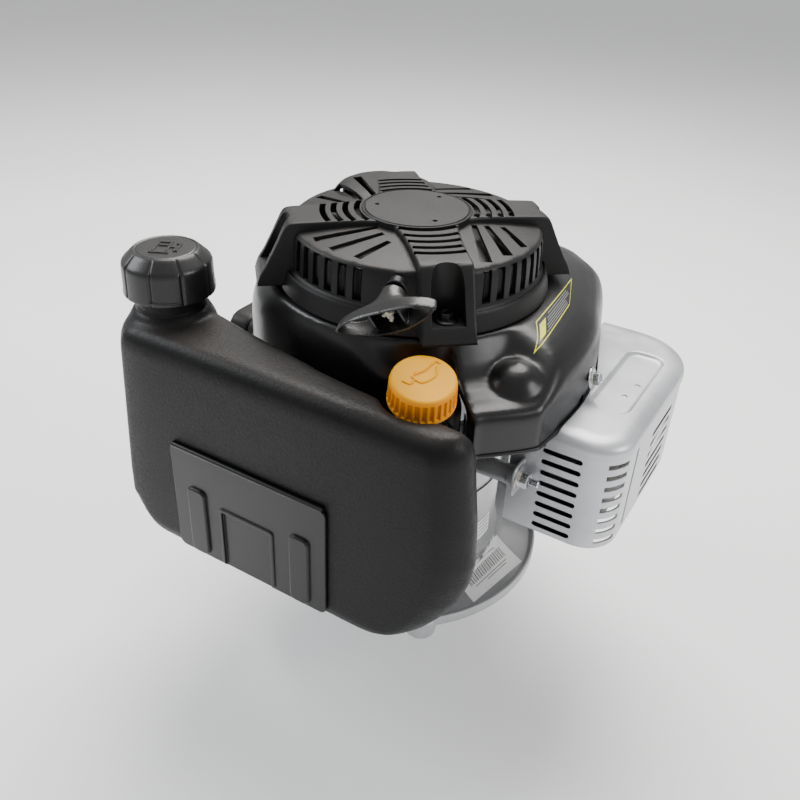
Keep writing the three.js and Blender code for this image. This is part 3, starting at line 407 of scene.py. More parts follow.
def make_finishes(colours):
    cover, tank = tuple(colours.cover), tuple(colours.tank)
    return {
        "cast_aluminium": cast("cast_aluminium", tuple(colours.casting), 0.36, 0.6),
        "steel": machined("steel", (0.55, 0.56, 0.57), 0.2, 0.4),
        "zinc": plated("zinc"),
        "dark_steel": machined("dark_steel", (0.022, 0.022, 0.024), 0.3, 0.46),
        "iron": cast("iron", (0.36, 0.34, 0.31), 0.42, 0.66, scale=260, stain=0.6),
        "black_paint": painted("black_paint", tuple(colours.paint), 0.28, 0.4, coat=0.2, specular=0.3),
        "black_plastic": moulded("black_plastic", cover, 0.36, 0.5, dust_and_sheen=0.07, specular=0.22),
        "dark_plastic": moulded("dark_plastic", shade(cover, 0.7), 0.24, 0.4, dust_and_sheen=0.05),
        "tank_plastic": moulded("tank_plastic", tank, 0.34, 0.52, 520, 0.00022, 0.0, dust_and_sheen=0.12, specular=0.2),
        "yellow_plastic": yellow_moulding("yellow_plastic", tuple(colours.oil_cap)),
        "silver_paint": painted("silver_paint", tuple(colours.guard), 0.32, 0.46, 0.55, 0.15, 0.3),
        "rubber": soft_rubber("rubber"),
        "gasket": fibre("gasket"),
        "foam": open_foam("foam"),
        "rope": braided("rope"),
        "ceramic": glazed("ceramic"),
        "screen": moulded("screen", (0.006, 0.006, 0.006), 0.3, 0.5),
        "paper": printed("paper", (0.90, 0.90, 0.90), 0.2),
        "grey_print": printed("grey_print", (0.20, 0.205, 0.20)),
        "yellow_print": printed("yellow_print", (0.78, 0.74, 0.03)),
        "floor": bare_floor("floor"),
    }


FINISHES = {}


# ---------------------------------------------------------------- mesh making
def new_piece(name, points, faces):
    mesh = bpy.data.meshes.new(name)
    mesh.from_pydata([tuple(c * MM for c in p) for p in points], [], faces)
    mesh.update()
    made = bpy.data.objects.new(name, mesh)
    bpy.context.scene.collection.objects.link(made)
    work = bmesh.new()
    work.from_mesh(mesh)
    bmesh.ops.recalc_face_normals(work, faces=work.faces)
    work.to_mesh(mesh)
    work.free()
    return made


def loft(name, rings, closed=True, tops=True):
    """A skin through rings of equal length; closed joins each ring's ends, and tops caps both ends."""
    count = len(rings[0])
    points = [p for ring in rings for p in ring]
    steps = count if closed else count - 1
    faces = []
    for k in range(len(rings) - 1):
        for i in range(steps):
            a, b = k * count + i, k * count + (i + 1) % count
            faces.append((a, b, b + count, a + count))
    if tops and closed:
        faces.append(tuple(range(count)))
        last = (len(rings) - 1) * count
        faces.append(tuple(range(last, last + count)))
    return new_piece(name, points, faces)


def circle(radius, z, steps, x=0.0, y=0.0, wave=None):
    ring = []
    for i in range(steps):
        angle = 2 * math.pi * i / steps
        r = radius - (wave(angle) if wave else 0.0)
        ring.append((x + r * math.cos(angle), y + r * math.sin(angle), z))
    return ring


def turned(name, profile, steps=96):
    """A solid of revolution about Z from (radius, z) points that start and end on the axis."""
    return loft(name, [circle(max(r, 0.01), z, steps) for r, z in profile])


def tubular(name, profile, steps=96):
    """A ring-shaped solid of revolution from a closed (radius, z) profile."""
    rings = [circle(r, z, steps) for r, z in [*profile, profile[0]]]
    made = loft(name, rings, tops=False)
    return welded(made)


def welded(obj, distance=0.0005):
    work = bmesh.new()
    work.from_mesh(obj.data)
    bmesh.ops.remove_doubles(work, verts=work.verts, dist=distance * MM)
    bmesh.ops.recalc_face_normals(work, faces=work.faces)
    work.to_mesh(obj.data)
    work.free()
    return obj


def prism(name, outline, z0, z1, bevel=0.0, segments=3):
    made = loft(name, [[(x, y, z) for x, y in outline] for z in (z0, z1)])
    return bevelled(made, bevel, segments) if bevel else made


def box(name, x, y, z, bevel=0.0, segments=3):
    outline = [(x[0], y[0]), (x[1], y[0]), (x[1], y[1]), (x[0], y[1])]
    return prism(name, outline, z[0], z[1], bevel, segments)


def round_box(x, y, radius, steps=6):
    """The outline of a rectangle with round corners."""
    corners = [(x[1] - radius, y[1] - radius, 0), (x[0] + radius, y[1] - radius, 90),
               (x[0] + radius, y[0] + radius, 180), (x[1] - radius, y[0] + radius, 270)]
    outline = []
    for cx, cy, start in corners:
        for i in range(steps + 1):
            angle = math.radians(start + 90 * i / steps)
            outline.append((cx + radius * math.cos(angle), cy + radius * math.sin(angle)))
    return outline


def smooth_loop(points, steps):
    """A closed curve through the points, with the given number of steps for each span."""
    count, made = len(points), []
    for i in range(count):
        p0, p1, p2, p3 = (Vector(points[(i + k) % count]) for k in (-1, 0, 1, 2))
        for s in range(steps):
            t = s / steps
            made.append(tuple(0.5 * (2 * p1 + (p2 - p0) * t + (2 * p0 - 5 * p1 + 4 * p2 - p3) * t * t
                                     + (3 * p1 - p0 - 3 * p2 + p3) * t ** 3)))
    return made


def smooth_line(points, steps):
    """An open curve through the points."""
    ends = [Vector(points[0]) * 2 - Vector(points[1]), *map(Vector, points),
            Vector(points[-1]) * 2 - Vector(points[-2])]
    made = []
    for i in range(1, len(ends) - 2):
        p0, p1, p2, p3 = ends[i - 1:i + 3]
        for s in range(steps):
            t = s / steps
            made.append(0.5 * (2 * p1 + (p2 - p0) * t + (2 * p0 - 5 * p1 + 4 * p2 - p3) * t * t
                               + (3 * p1 - p0 - 3 * p2 + p3) * t ** 3))
    return [*made, ends[-2]]


def pipe(name, points, radius, sides=16, closed=False):
    """A round bar that follows the points."""
    path = [Vector(p) for p in points]
    count = len(path)
    rings, across = [], None
    for i, here in enumerate(path):
        before = path[i - 1] if i or closed else here
        after = path[(i + 1) % count] if i + 1 < count or closed else here
        way = (after - before).normalized()
        if across is None:
            across = way.orthogonal().normalized()
        across = (across - way * across.dot(way)).normalized()
        up = way.cross(across)
        rings.append([here + radius * (math.cos(a) * across + math.sin(a) * up)
                      for a in (2 * math.pi * k / sides for k in range(sides))])
    if closed:
        made = loft(name, [*rings, rings[0]], tops=False)
        return welded(made)
    return loft(name, rings)


def settled(obj):
    """Applies every modifier of a piece."""
    graph = bpy.context.evaluated_depsgraph_get()
    mesh = bpy.data.meshes.new_from_object(obj.evaluated_get(graph))
    obj.modifiers.clear()
    old, obj.data = obj.data, mesh
    bpy.data.meshes.remove(old)
    return obj


def bevelled(obj, width, segments=3, angle=35):
    modifier = obj.modifiers.new("edges", "BEVEL")
    modifier.width = width * MM
    modifier.segments = segments
    modifier.limit_method = "ANGLE"
    modifier.angle_limit = math.radians(angle)
    return settled(obj)


def merged(name, pieces):
    """One mesh from several, without joining their surfaces."""
    work = bmesh.new()
    for piece in pieces:
        work.from_mesh(piece.data)
    mesh = bpy.data.meshes.new(name)
    work.to_mesh(mesh)
    work.free()
    for piece in pieces:
        bpy.data.objects.remove(piece)
    made = bpy.data.objects.new(name, mesh)
    bpy.context.scene.collection.objects.link(made)
    return made


def shaped(body, tools, operation="DIFFERENCE", solver="MANIFOLD"):
    """Cuts tools that don't meet each other from the body, or joins them to it."""
    tool = merged("tool", tools) if len(tools) > 1 else tools[0]
    before = len(body.data.polygons)
    modifier = body.modifiers.new("shape", "BOOLEAN")
    modifier.operation = operation
    modifier.solver = solver
    modifier.object = tool
    settled(body)
    if not body.data.polygons or (solver == "MANIFOLD" and len(body.data.polygons) == before):
        if solver == "EXACT":
            raise RuntimeError(f"the cut of {body.name} left nothing")
    bpy.data.objects.remove(tool)
    return body


def joined(body, tools):
    for tool in tools:
        shaped(body, [tool], "UNION")
    return body


def melted(obj, voxel, rounds=8):
    """Remeshes a solid and relaxes it, so that its corners melt into fillets."""
    modifier = obj.modifiers.new("grain", "REMESH")
    modifier.mode = "VOXEL"
    modifier.voxel_size = voxel
    settled(obj)
    modifier = obj.modifiers.new("relax", "SMOOTH")
    modifier.factor = 0.5
    modifier.iterations = rounds
    return settled(obj)


def moved(obj, matrix):
    obj.data.transform(matrix)
    return obj


def spun(obj, degrees):
    return moved(obj, Matrix.Rotation(math.radians(degrees), 4, "Z"))


def stand(origin, way, across=None):
    """The matrix that lays a piece's own Z along a way, with its X near another."""
    z = Vector(way).normalized()
    x = Vector(across) if across else z.orthogonal()
    x = (x - z * x.dot(z)).normalized()
    y = z.cross(x)
    turn = Matrix((x, y, z)).transposed().to_4x4()
    return Matrix.Translation(Vector(origin) * MM) @ turn


TUBE_STAND = stand(TUBE_TOP - TUBE_WAY * TUBE_LENGTH, TUBE_WAY)
PULL_STAND = stand(PULL_START, PULL_WAY, (0.90, 0.16, 0.40))


def finished(obj, finish, body="engine", nodes=(), angle=35, weighted=True):
    """Smooths, colours and hangs a piece on its body; it stands for the given frame nodes."""
    obj.data.materials.clear()
    obj.data.materials.append(FINISHES[finish])
    for face in obj.data.polygons:
        face.material_index = 0
    obj.data.shade_smooth()
    obj.data.set_sharp_from_angle(angle=math.radians(angle))
    if weighted:
        modifier = obj.modifiers.new("even", "WEIGHTED_NORMAL")
        modifier.keep_sharp = True
        settled(obj)
    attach(obj, body)
    if nodes:
        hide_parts(*nodes)
    return obj


NODE_SLOT = {part["node"]: part["material_slot"] for part in frame["record"]["subparts"]}
NODE_BODY = {node: body for body, nodes in frame["record"]["behaviour"]["bodies"].items() for node in nodes}


def arc_block(name, radii, angles, z, steps=12):
    """A block bent round the crank axis."""
    rings = []
    for i in range(steps + 1):
        angle = math.radians(angles[0] + (angles[1] - angles[0]) * i / steps)
        c, s = math.cos(angle), math.sin(angle)
        rings.append([(r * c, r * s, h) for r, h in (
            (radii[0], z[0]), (radii[1], z[0]), (radii[1], z[1]), (radii[0], z[1]))])
    return loft(name, rings)


def flange_screw(name, flats, head, flange, shank, length):
    """A hexagon flange screw along +Z; its flange stands on z = 0."""
    corner = flats / math.sqrt(3)
    hexagon = [(corner * math.cos(math.radians(60 * i)), corner * math.sin(math.radians(60 * i))) for i in range(6)]
    top = prism(name + "_hex", hexagon, 0.6, head, 0.5, 2)
    dish = turned(name + "_dish", [(0, head - 1.1), (flats * 0.36, head - 1.1), (flats * 0.42, head + 1), (0, head + 1)], 32)
    shaped(top, [dish])
    skirt = turned(name + "_flange", [
        (0, 0), (flange - 0.3, 0), (flange, 0.4), (flange - 0.2, 1.0), (corner + 0.6, 1.7), (0, 1.9)], 48)
    thread = [(0, -length), (shank - 0.8, -length)]
    turns = int((length - 1) / 1.0)
    for i in range(turns):
        z = -length + 0.6 + i
        thread += [(shank - 0.45, z), (shank, z + 0.4), (shank, z + 0.5), (shank - 0.45, z + 0.9)]
    thread += [(shank - 0.3, 0.2), (0, 0.2)]
    return merged(name, [top, skirt, turned(name + "_thread", thread, 24)])


# ---------------------------------------------------------------- starter cover
def arm_half_width(r):
    return 16.3 + 7.6 * math.exp(-max(r - 22, 0) / 15)


ARM_SIDE = [(14, 278.9), (22, 278.9), (30, 278.9), (38, 278.7), (48, 278.3), (60, 277.8), (72, 277.3),
            (80, 277), (83.6, 276.6), (85.8, 275.2), (87.6, 272.4), (91, 265.2), (95, 257), (99, 249.2),
            (101.4, 245.4), (103.2, 242.4), (104.6, 238.6), (105.4, 234.6)]


def rear_lobe(inset, bottom):
    """The round hump behind, over the starter's spring."""
    lobe = turned("lobe", [
        (0, bottom), (39 - inset, bottom), (39 - inset, 262), (38.4 - inset, 267 - inset), (36.6 - inset, 271.4 - inset),
        (33.6 - inset, 274.6 - inset), (29.4 - inset, 276.6 - inset), (24, 277.4 - inset), (0, 277.6 - inset)], 96)
    return moved(lobe, Matrix.Translation(Vector((-45, 35, 0)) * MM))


def arm_solid(name, inset, bottom):
    rings = []
    for r, top in ARM_SIDE:
        radial = r - (inset if r > 80 else 0)
        half = arm_half_width(r) - inset
        high = top - inset
        edge = min(1.7, (high - bottom) * 0.4)
        section = [(-half, bottom)]
        for i in range(4):
            a = math.radians(180 - 30 * i)
            section.append((-half + edge + edge * math.cos(a), high - edge + edge * math.sin(a)))
        for i in range(4):
            a = math.radians(90 - 30 * i)
            section.append((half - edge + edge * math.cos(a), high - edge + edge * math.sin(a)))
        section.append((half, bottom))
        rings.append([(radial, y, z) for y, z in section])
    return loft(name, rings)


ROOF_SLOTS = [
    [((39.6, 10), (77, -24), 3.6), ((46.6, 15.8), (76.8, -10.5), 3.3), ((56.4, 20.5), (77.1, 3.2), 2.4)],
    [((37, -7.5), (75.8, -22.2), 3.2), ((42, 4), (76.4, -8.6), 3.0), ((50, 14), (76, 6), 2.8)],
]


def build_cover(sizes):
    wall = sizes.wall / MM
    outer = turned("starter_cover", [
        (0, 232.4), (90.2, 232.4), (90.6, 233.2), (89.6, 238.6), (88.5, 243.2), (87.9, 244.9), (87.2, 245.6),
        (86.5, 245.2), (86.1, 244.5), (85.7, 244.9), (85.2, 246.0), (84.6, 246.4), (84.1, 246.9), (83.5, 260),
        (83.0, 266.4), (82.1, 269.2), (80.0, 270.9), (60, 273.2), (38, 275.4), (0, 275.4)], 192)
    disc = turned("cover_disc", [
        (0, 268), (36.4, 268), (36.2, 278.7), (35.8, 279.4), (35.2, 279.6), (34.9, 279.0), (34.4, 278.7),
        (33.9, 279.1), (33.5, 279.7), (12, COVER_TOP), (0, COVER_TOP)], 128)
    joined(outer, [disc, rear_lobe(0, 240), *(spun(arm_solid("arm", 0, 235.6), a) for a in ARM_ANGLES)])
    inner = turned("cover_inside", [
        (0, 228), (88.2, 228), (88.2, 233), (85.6, 243), (82, 244.4), (81.4, 262), (79, 268.6), (38, 273.2),
        (0, 273.2)], 128)
    joined(inner, [rear_lobe(wall, 228), *(spun(arm_solid("arm_inside", wall, 226), a) for a in ARM_ANGLES)])
    shaped(outer, [inner])
    # Posts that carry the four screws, with a well open to the outside of each arm.
    posts = []
    wells = []
    holes = []
    half = sizes.well / MM
    for angle in ARM_ANGLES:
        side = arm_solid("post", 0.3, 235)
        block = prism("post_block", round_box((79.6, 105), (-half - 2.2, half + 2.2), 6), 235, 276.6)
        modifier = side.modifiers.new("shape", "BOOLEAN")
        modifier.operation = "INTERSECT"
        modifier.solver = "MANIFOLD"
        modifier.object = block
        settled(side)
        bpy.data.objects.remove(block)
        posts.append(spun(side, angle))
        well = []
        for i in range(25):
            a = math.radians(90 + 180 * i / 24)
            well.append((SCREW_CIRCLE + 0.4 + half * math.cos(a), half * math.sin(a)))
        well += [(112, -half - 0.2), (112, half + 0.2)]
        wells.append(spun(prism("well", well, WELL_FLOOR, 290), angle))
        holes.append(spun(prism("well_hole", [
            (SCREW_CIRCLE + 3.3 * math.cos(math.radians(15 * i)), 3.3 * math.sin(math.radians(15 * i)))
            for i in range(24)], 226, 260), angle))
    joined(outer, posts)
    shaped(outer, wells)
    shaped(outer, holes)
    # Slots.
    slot = sizes.arc_slot / MM / 2
    arcs = []
    for index, angle in enumerate(ARM_ANGLES):
        rows = [(37.8, 29.5), (46.5, 22), (54.7, 17.5), (62.9, 14), (70.4, 13.2)] if index == 0 else [
            (39.2, 27), (46.7, 21.5), (54.2, 17.5), (61.4, 14.6)]
        for r, reach in rows:
            arcs.append(arc_block("arc", (r - slot, r + slot), (angle - reach, angle + reach), (266, 290)))
    shaped(outer, arcs)
    roofs = []
    for index, middle in enumerate(SECTOR_ANGLES):
        for (r0, a0), (r1, a1), wide_end in ROOF_SLOTS[index // 2]:
            start = Vector((r0 * math.cos(math.radians(middle + a0)), r0 * math.sin(math.radians(middle + a0))))
            end = Vector((r1 * math.cos(math.radians(middle + a1)), r1 * math.sin(math.radians(middle + a1))))
            side = (end - start).normalized().orthogonal()
            plan = [start + side * 1.8, start - side * 1.8, end - side * wide_end, end + side * wide_end]
            roofs.append(prism("roof_slot", [tuple(p) for p in plan], 264, 290))
    shaped(outer, roofs)
    windows = []
    count = sizes.side_slots
    reach = sizes.side_slot / MM / 2
    for index, middle in enumerate(SECTOR_ANGLES):
        for i in range(count - 2 if index == 3 else count):
            window = box("window", (78, 92), (-reach, reach), (247.8, 268.4))
            windows.append(spun(window, middle - 26 - (1.5 if index == 3 else 0) + 7.35 * i))
    shaped(outer, windows)
    # Three small holes in the disc, and the way out for the rope.
    pins = [prism("pin", [
        (26.1 * math.cos(math.radians(a)) + 1.6 * math.cos(math.radians(20 * i)),
         26.1 * math.sin(math.radians(a)) + 1.6 * math.sin(math.radians(20 * i))) for i in range(18)], 272, 290)
        for a in (205.9, 85.9, 325.9)]
    shaped(outer, pins)
    way = turned("rope_way", [(0, -16), (5.4, -16), (5.4, 14), (0, 14)], 40)
    shaped(outer, [moved(way, PULL_STAND)])
    finished(outer, "black_plastic", nodes=["starter_cover"])
    screen = loft("starter_screen", [[
        ((79.6 - 1.1 * (i % 2)) * math.cos(math.pi * i / 220) * s, (79.6 - 1.1 * (i % 2)) * math.sin(math.pi * i / 220) * s, z)
        for i in range(440)] for z, s in ((243, 1.0), (265.4, 1.0), (266, 0.99))], tops=True)
    finished(screen, "screen", weighted=False, angle=20)
    for index, angle in enumerate(ARM_ANGLES):
        screw = flange_screw(f"cover_screw_{index + 1}_shown", 8, 5.6, 7.2, 2.9, 14)
        moved(screw, Matrix.Rotation(math.radians(17 + 40 * index), 4, "Z"))
        x, y = SCREW_CIRCLE * math.cos(math.radians(angle)), SCREW_CIRCLE * math.sin(math.radians(angle))
        moved(screw, Matrix.Translation(Vector((x, y, WELL_FLOOR + 0.1)) * MM))
        finished(screw, "dark_steel", nodes=[f"cover_screw_{index + 1}"])


# ---------------------------------------------------------------- pull grip and rope
def grip_ring(z, scale, thick, blend, count=48):
    """One section of the grip: a circle near the rope that spreads into a bar with a bowed lower edge."""
    ring = []
    for i in range(count):
        a = 2 * math.pi * i / count
        c, s = math.cos(a), math.sin(a)
        x = 31 * scale * math.copysign(abs(c) ** 0.75, c)
        rise = 6.2 if s > 0 else 10.5
        fade = (1 - (min(abs(x), 31) / 31) ** 2.2) if s < 0 else (1 - (min(abs(x), 31) / 31) ** 6)
        y = thick * rise * math.copysign(abs(s) ** 0.6, s) * (0.18 + 0.82 * fade) + 1.5
        rx, ry = 7.4 * c, 7.4 * s
        ring.append((rx + (x - rx) * blend, ry + (y - ry) * blend, z))
    return ring


def build_grip():
    outer = loft("recoil_grip_shown", [
        grip_ring(6, 1, 1, 0), grip_ring(10, 1, 1, 0.02), grip_ring(13, 0.8, 0.8, 0.12),
        grip_ring(16, 0.8, 0.9, 0.18), grip_ring(18.5, 0.88, 0.95, 0.38), grip_ring(20.5, 0.95, 0.98, 0.76),
        grip_ring(22.2, 0.985, 1, 1), grip_ring(26, 1, 1, 1), grip_ring(30, 1, 1, 1)])
    melted(outer, 0.0011, 3)
    inner = loft("grip_inside", [
        grip_ring(17.5, 0.6, 0.45, 0.7), grip_ring(20, 0.82, 0.66, 1), grip_ring(24, 0.92, 0.8, 1),
        grip_ring(34, 0.95, 0.86, 1)])
    shaped(outer, [inner])
    bore = turned("grip_bore", [(0, 0), (2.6, 0), (2.6, 22), (0, 22)], 24)
    shaped(outer, [bore])
    ribs = [box("rib", (x - 0.7, x + 0.7), (-7.2, 5.6), (17, 26.5)) for x in (-9, 9)]
    grip = merged("recoil_grip_shown", [outer, *ribs])
    moved(grip, PULL_STAND)
    finished(grip, "dark_plastic", "grip", ["recoil_grip"])
    strands = []
    for k in range(3):
        path = []
        for i in range(61):
            a = 2 * math.pi * (k / 3 + i / 14)
            path.append((0.95 * math.cos(a), 0.95 * math.sin(a), -4 + 24 * i / 60))
        strands.append(pipe("strand", path, 1.1, 10))
    knot = []
    for i in range(97):
        a = 2 * math.pi * i / 48
        knot.append((1.7 * math.cos(a) + 0.8 * math.cos(3 * a), 1.7 * math.sin(a) - 0.8 * math.sin(3 * a),
                     21.8 + 1.2 * math.sin(2.5 * a)))
    strands.append(pipe("knot", knot, 1.1, 10))
    tail = smooth_line([(1.2, 0, 22), (2.2, -1.4, 24), (1.4, -2.8, 26)], 8)
    strands.append(pipe("tail", tail, 1.0, 10))
    rope = moved(merged("rope_end_shown", strands), PULL_STAND)
    finished(rope, "rope", "grip", ["rope_end"])
    ferrule = tubular("rope_guide_shown", [
        (2.7, -4), (4.9, -4), (4.9, 1), (6.4, 1.6), (6.7, 2.4), (6.2, 3.1), (4.4, 3.4), (3.2, 3.0), (2.7, 2.2)], 48)
    finished(moved(ferrule, PULL_STAND), "dark_steel", nodes=["rope_guide"])


# ---------------------------------------------------------------- blower housing
def low_ledge(angle):
    """1 over the tank side's front right, where the housing steps down to a ledge; 0 elsewhere."""
    degrees = math.degrees(angle)
    rise = min(1, max(0, (degrees + 84) / 18))
    fall = min(1, max(0, (-14 - degrees) / 16))
    weight = min(rise, fall)
    return weight * weight * (3 - 2 * weight)


def housing_rings(inset, down):
    outline = smooth_loop([(x, y) for x, y in HOUSING_OUTLINE], 6)
    high = [(0.0, LIP_Z - down), (0.0, 190), (0.0, 200), (0.02, 208), (0.07, 214), (0.17, 219.5), (0.32, 223.6),
            (0.5, 226.8), (0.7, 229.4), (0.86, 231.2), (0.95, 232.0), (1.0, 231.8)]
    low = [(0.0, LIP_Z - down), (0.0, 190), (0.0, 198), (0.012, 201.8), (0.05, 204.4), (0.15, 206.0),
           (0.32, 207.0), (0.5, 208.6), (0.68, 212), (0.82, 218), (0.92, 225.5), (1.0, 231.8)]
    rings = []
    for (high_in, high_z), (low_in, low_z) in zip(high, low):
        ring = []
        for x, y in outline:
            full = math.hypot(x, y)
            weight = low_ledge(math.atan2(y, x))
            share = high_in + (low_in - high_in) * weight
            z = high_z + (low_z - high_z) * weight
            r = full + (92 - full) * share - inset
            ring.append((x * r / full, y * r / full, z - (inset if share > 0 else 0)))
        rings.append(ring)
    return rings


def build_housing(sizes):
    skin = sizes.skin / MM
    outer = loft("blower_housing_shown", housing_rings(0, 8))
    dome = turned("dome", [
        (19.5 * math.sin(math.radians(9 * i)), -19.5 * math.cos(math.radians(9 * i))) for i in range(21)], 48)
    moved(dome, Matrix.Translation(Vector((103, -50, 202)) * MM))
    joined(outer, [dome])
    melted(outer, sizes.voxel, 9)
    inner = loft("housing_inside", housing_rings(skin + 0.6, 14))
    shaped(outer, [inner])
    mouth = turned("housing_mouth", [(0, 200), (88, 200), (88, 240), (0, 240)], 96)
    shaped(outer, [mouth])
    foot = box("housing_foot", (-200, 200), (-200, 250), (150, LIP_Z))
    shaped(outer, [foot])
    notches = [moved(turned("notch", [(0, -6), (r, -6), (r, 6), (0, 6)], 32), stand(at, (1, 0, 0)))
               for r, at in ((4.2, (128, -4, 181)), (3.6, (128, 26, 183)))]
    shaped(outer, notches)
    finished(outer, "black_paint", nodes=["blower_housing"], angle=50)
    outline = smooth_loop([(x, y) for x, y in HOUSING_OUTLINE], 6)
    lip = pipe("housing_lip", [(x, y, LIP_Z + 0.2) for x, y in outline], 1.35, 12, closed=True)
    finished(lip, "black_paint")
    bolt = flange_screw("housing_bolt_shown", 8, 6, 7.4, 2.4, 2)
    finished(moved(bolt, stand(HOUSING_BOLT - Vector((0.4, 0, 0)), (1, 0.04, 0.25))), "zinc", nodes=["housing_bolt"])


# ---------------------------------------------------------------- fuel tank
def tank_ring(z, inset, left, right):
    ring = []
    for x, y in smooth_loop(TANK_OUTLINE, 6):
        along = min(1, max(0, (x + 140) / 250))
        middle = -110 - 15 * along
        half = 30 - 14.5 * along
        taper = (z - TANK_BOTTOM) * 0.075 * min(1, max(0, (-x - 110) / 30))
        shrunk = x * right / 117 - inset if x > 0 else x + inset * min(1, -x / 60) + taper
        ring.append((max(shrunk, left + inset), middle + (y - middle) * (1 - inset / half), z))
    return ring


def build_tank(sizes):
    bottom, top = TANK_BOTTOM, 210
    outer = loft("fuel_tank_shown", [
        tank_ring(bottom, 10, -122, 60), tank_ring(bottom + 1.5, 6, -125, 66), tank_ring(bottom + 5, 2.5, -128, 74),
        tank_ring(bottom + 12, 0, -133, 84), tank_ring(60, 0, -139, 93), tank_ring(72, 0, -148, 102),
        tank_ring(90, 0, -160, 112), tank_ring(106, 0, -170, 117), tank_ring(122, 0, -172, 119),
        tank_ring(150, 0, -172, 117), tank_ring(180, 0, -172, 113), tank_ring(196, 0, -172, 111),
        tank_ring(202, 1.2, -172, 110.5), tank_ring(206, 3.6, -172, 110), tank_ring(208.8, 7, -172, 110),
        tank_ring(top, 11, -172, 110)])
    base = turned("neck_base", [(0, 196), (31, 196), (28.6, 207), (26, 211.6), (24, 215.5), (0, 216)], 64)
    moved(base, Matrix.Translation(Vector((NECK.x, NECK.y, 0)) * MM))
    joined(outer, [base])
    scoop = turned("scoop", [(0, -24), (18, -24), (23, -20), (24.5, -14), (25.5, 60), (0, 60)], 64)
    shaped(outer, [moved(scoop, stand((66, -98, 205), TUBE_WAY))])
    melted(outer, sizes.voxel, 12)
    neck = turned("neck", [
        (0, 205), (23.4, 205), (23.2, 216.5), (22.4, 217.6), (22.4, NECK_TOP - 0.6), (21.8, NECK_TOP),
        (0, NECK_TOP)], 96)
    moved(neck, Matrix.Translation(Vector((NECK.x, NECK.y, 0)) * MM))
    joined(outer, [neck])
    bore = turned("neck_bore", [(0, 150), (19, 150), (19, 260), (0, 260)], 64)
    shaped(outer, [moved(bore, Matrix.Translation(Vector((NECK.x, NECK.y, 0)) * MM))])
    finished(outer, "tank_plastic", nodes=["fuel_tank"], angle=50)
    outlet = turned("tank_outlet", [
        (0, 30), (3.4, 30), (4.0, 31), (4.0, 33), (3.4, 33.4), (3.4, 38), (6, 39), (6, 46), (0, 46)], 32)
    finished(moved(outlet, Matrix.Translation(Vector((-118, -92, 0)) * MM)), "tank_plastic")


def build_bracket():
    y = -140.4
    rounded = [(x, z) for x, z in round_box((-99, 28), (48, 135), 5)]
    plate = prism("plate", [(x, z) for x, z in rounded], 0, 2.2, 0.6)
    upright = Matrix(((1, 0, 0, 0), (0, 0, -1, 0), (0, 1, 0, 0), (0, 0, 0, 1)))
    pieces = [plate]
    for x in (-78, 8):
        ridge = prism("ridge", round_box((x - 8, x + 8), (50, 106), 5), 0.4, 4.4, 1.6)
        pieces.append(ridge)
    pieces.append(prism("panel_frame", round_box((-59, -13), (49, 99), 3), 0.4, 3.4, 0.9))
    bracket = pieces[0]
    joined(bracket, pieces[1:])
    shaped(bracket, [prism("panel", round_box((-56.4, -15.6), (40, 96.4), 2), 1.4, 9, 0.5)])
    moved(bracket, Matrix.Translation(Vector((0, y, 0)) * MM) @ upright)
    roll = pipe("roll", [(x, y - 1.4, 135.2) for x in (-97, -60, -20, 26)], 1.9, 16)
    rest = merged("tank_bracket_shown", [bracket, roll])
    finished(rest, "black_paint", nodes=["tank_bracket"])


# ---------------------------------------------------------------- caps
def icon_pump(z):
    """A raised picture of a fuel pump."""
    bars = [((-7, 3), (-8.5, -7)), ((-7, 3), (7, 8.5)), ((-7, -5.5), (-8.5, 8.5)), ((1.5, 3), (-8.5, 8.5)),
            ((-5, 1), (1.5, 2.7)), ((-8.5, 4.5), (-10, -8.4)), ((3, 7.5), (-1, 0.4)), ((6.2, 7.6), (-5.5, 0.4)),
            ((6.2, 9), (-6.5, -5.2)), ((7.8, 9.2), (-6.5, 6)), ((5.6, 9.2), (5, 6.3))]
    return [box("bar", x, y, (z - 0.8, z + 0.7), 0.3, 2) for x, y in bars]


def icon_oil_can(z):
    """A raised picture of an oil can, drawn with rounded strokes."""
    strokes = [[(-12, 3), (-9, -1), (-5, 1)], [(-5, 1), (-2, -2.8), (7, -1), (11, 5)], [(-5, 1), (-5, 4), (3, 5)],
               [(3, 5), (12, 9), (13.6, 6.5)], [(-3, 5.2), (0, 5.6)]]
    return [pipe("stroke", [(x, y, z) for x, y in smooth_line([(*p,) for p in line], 6)], 0.75, 8)
            for line in strokes]


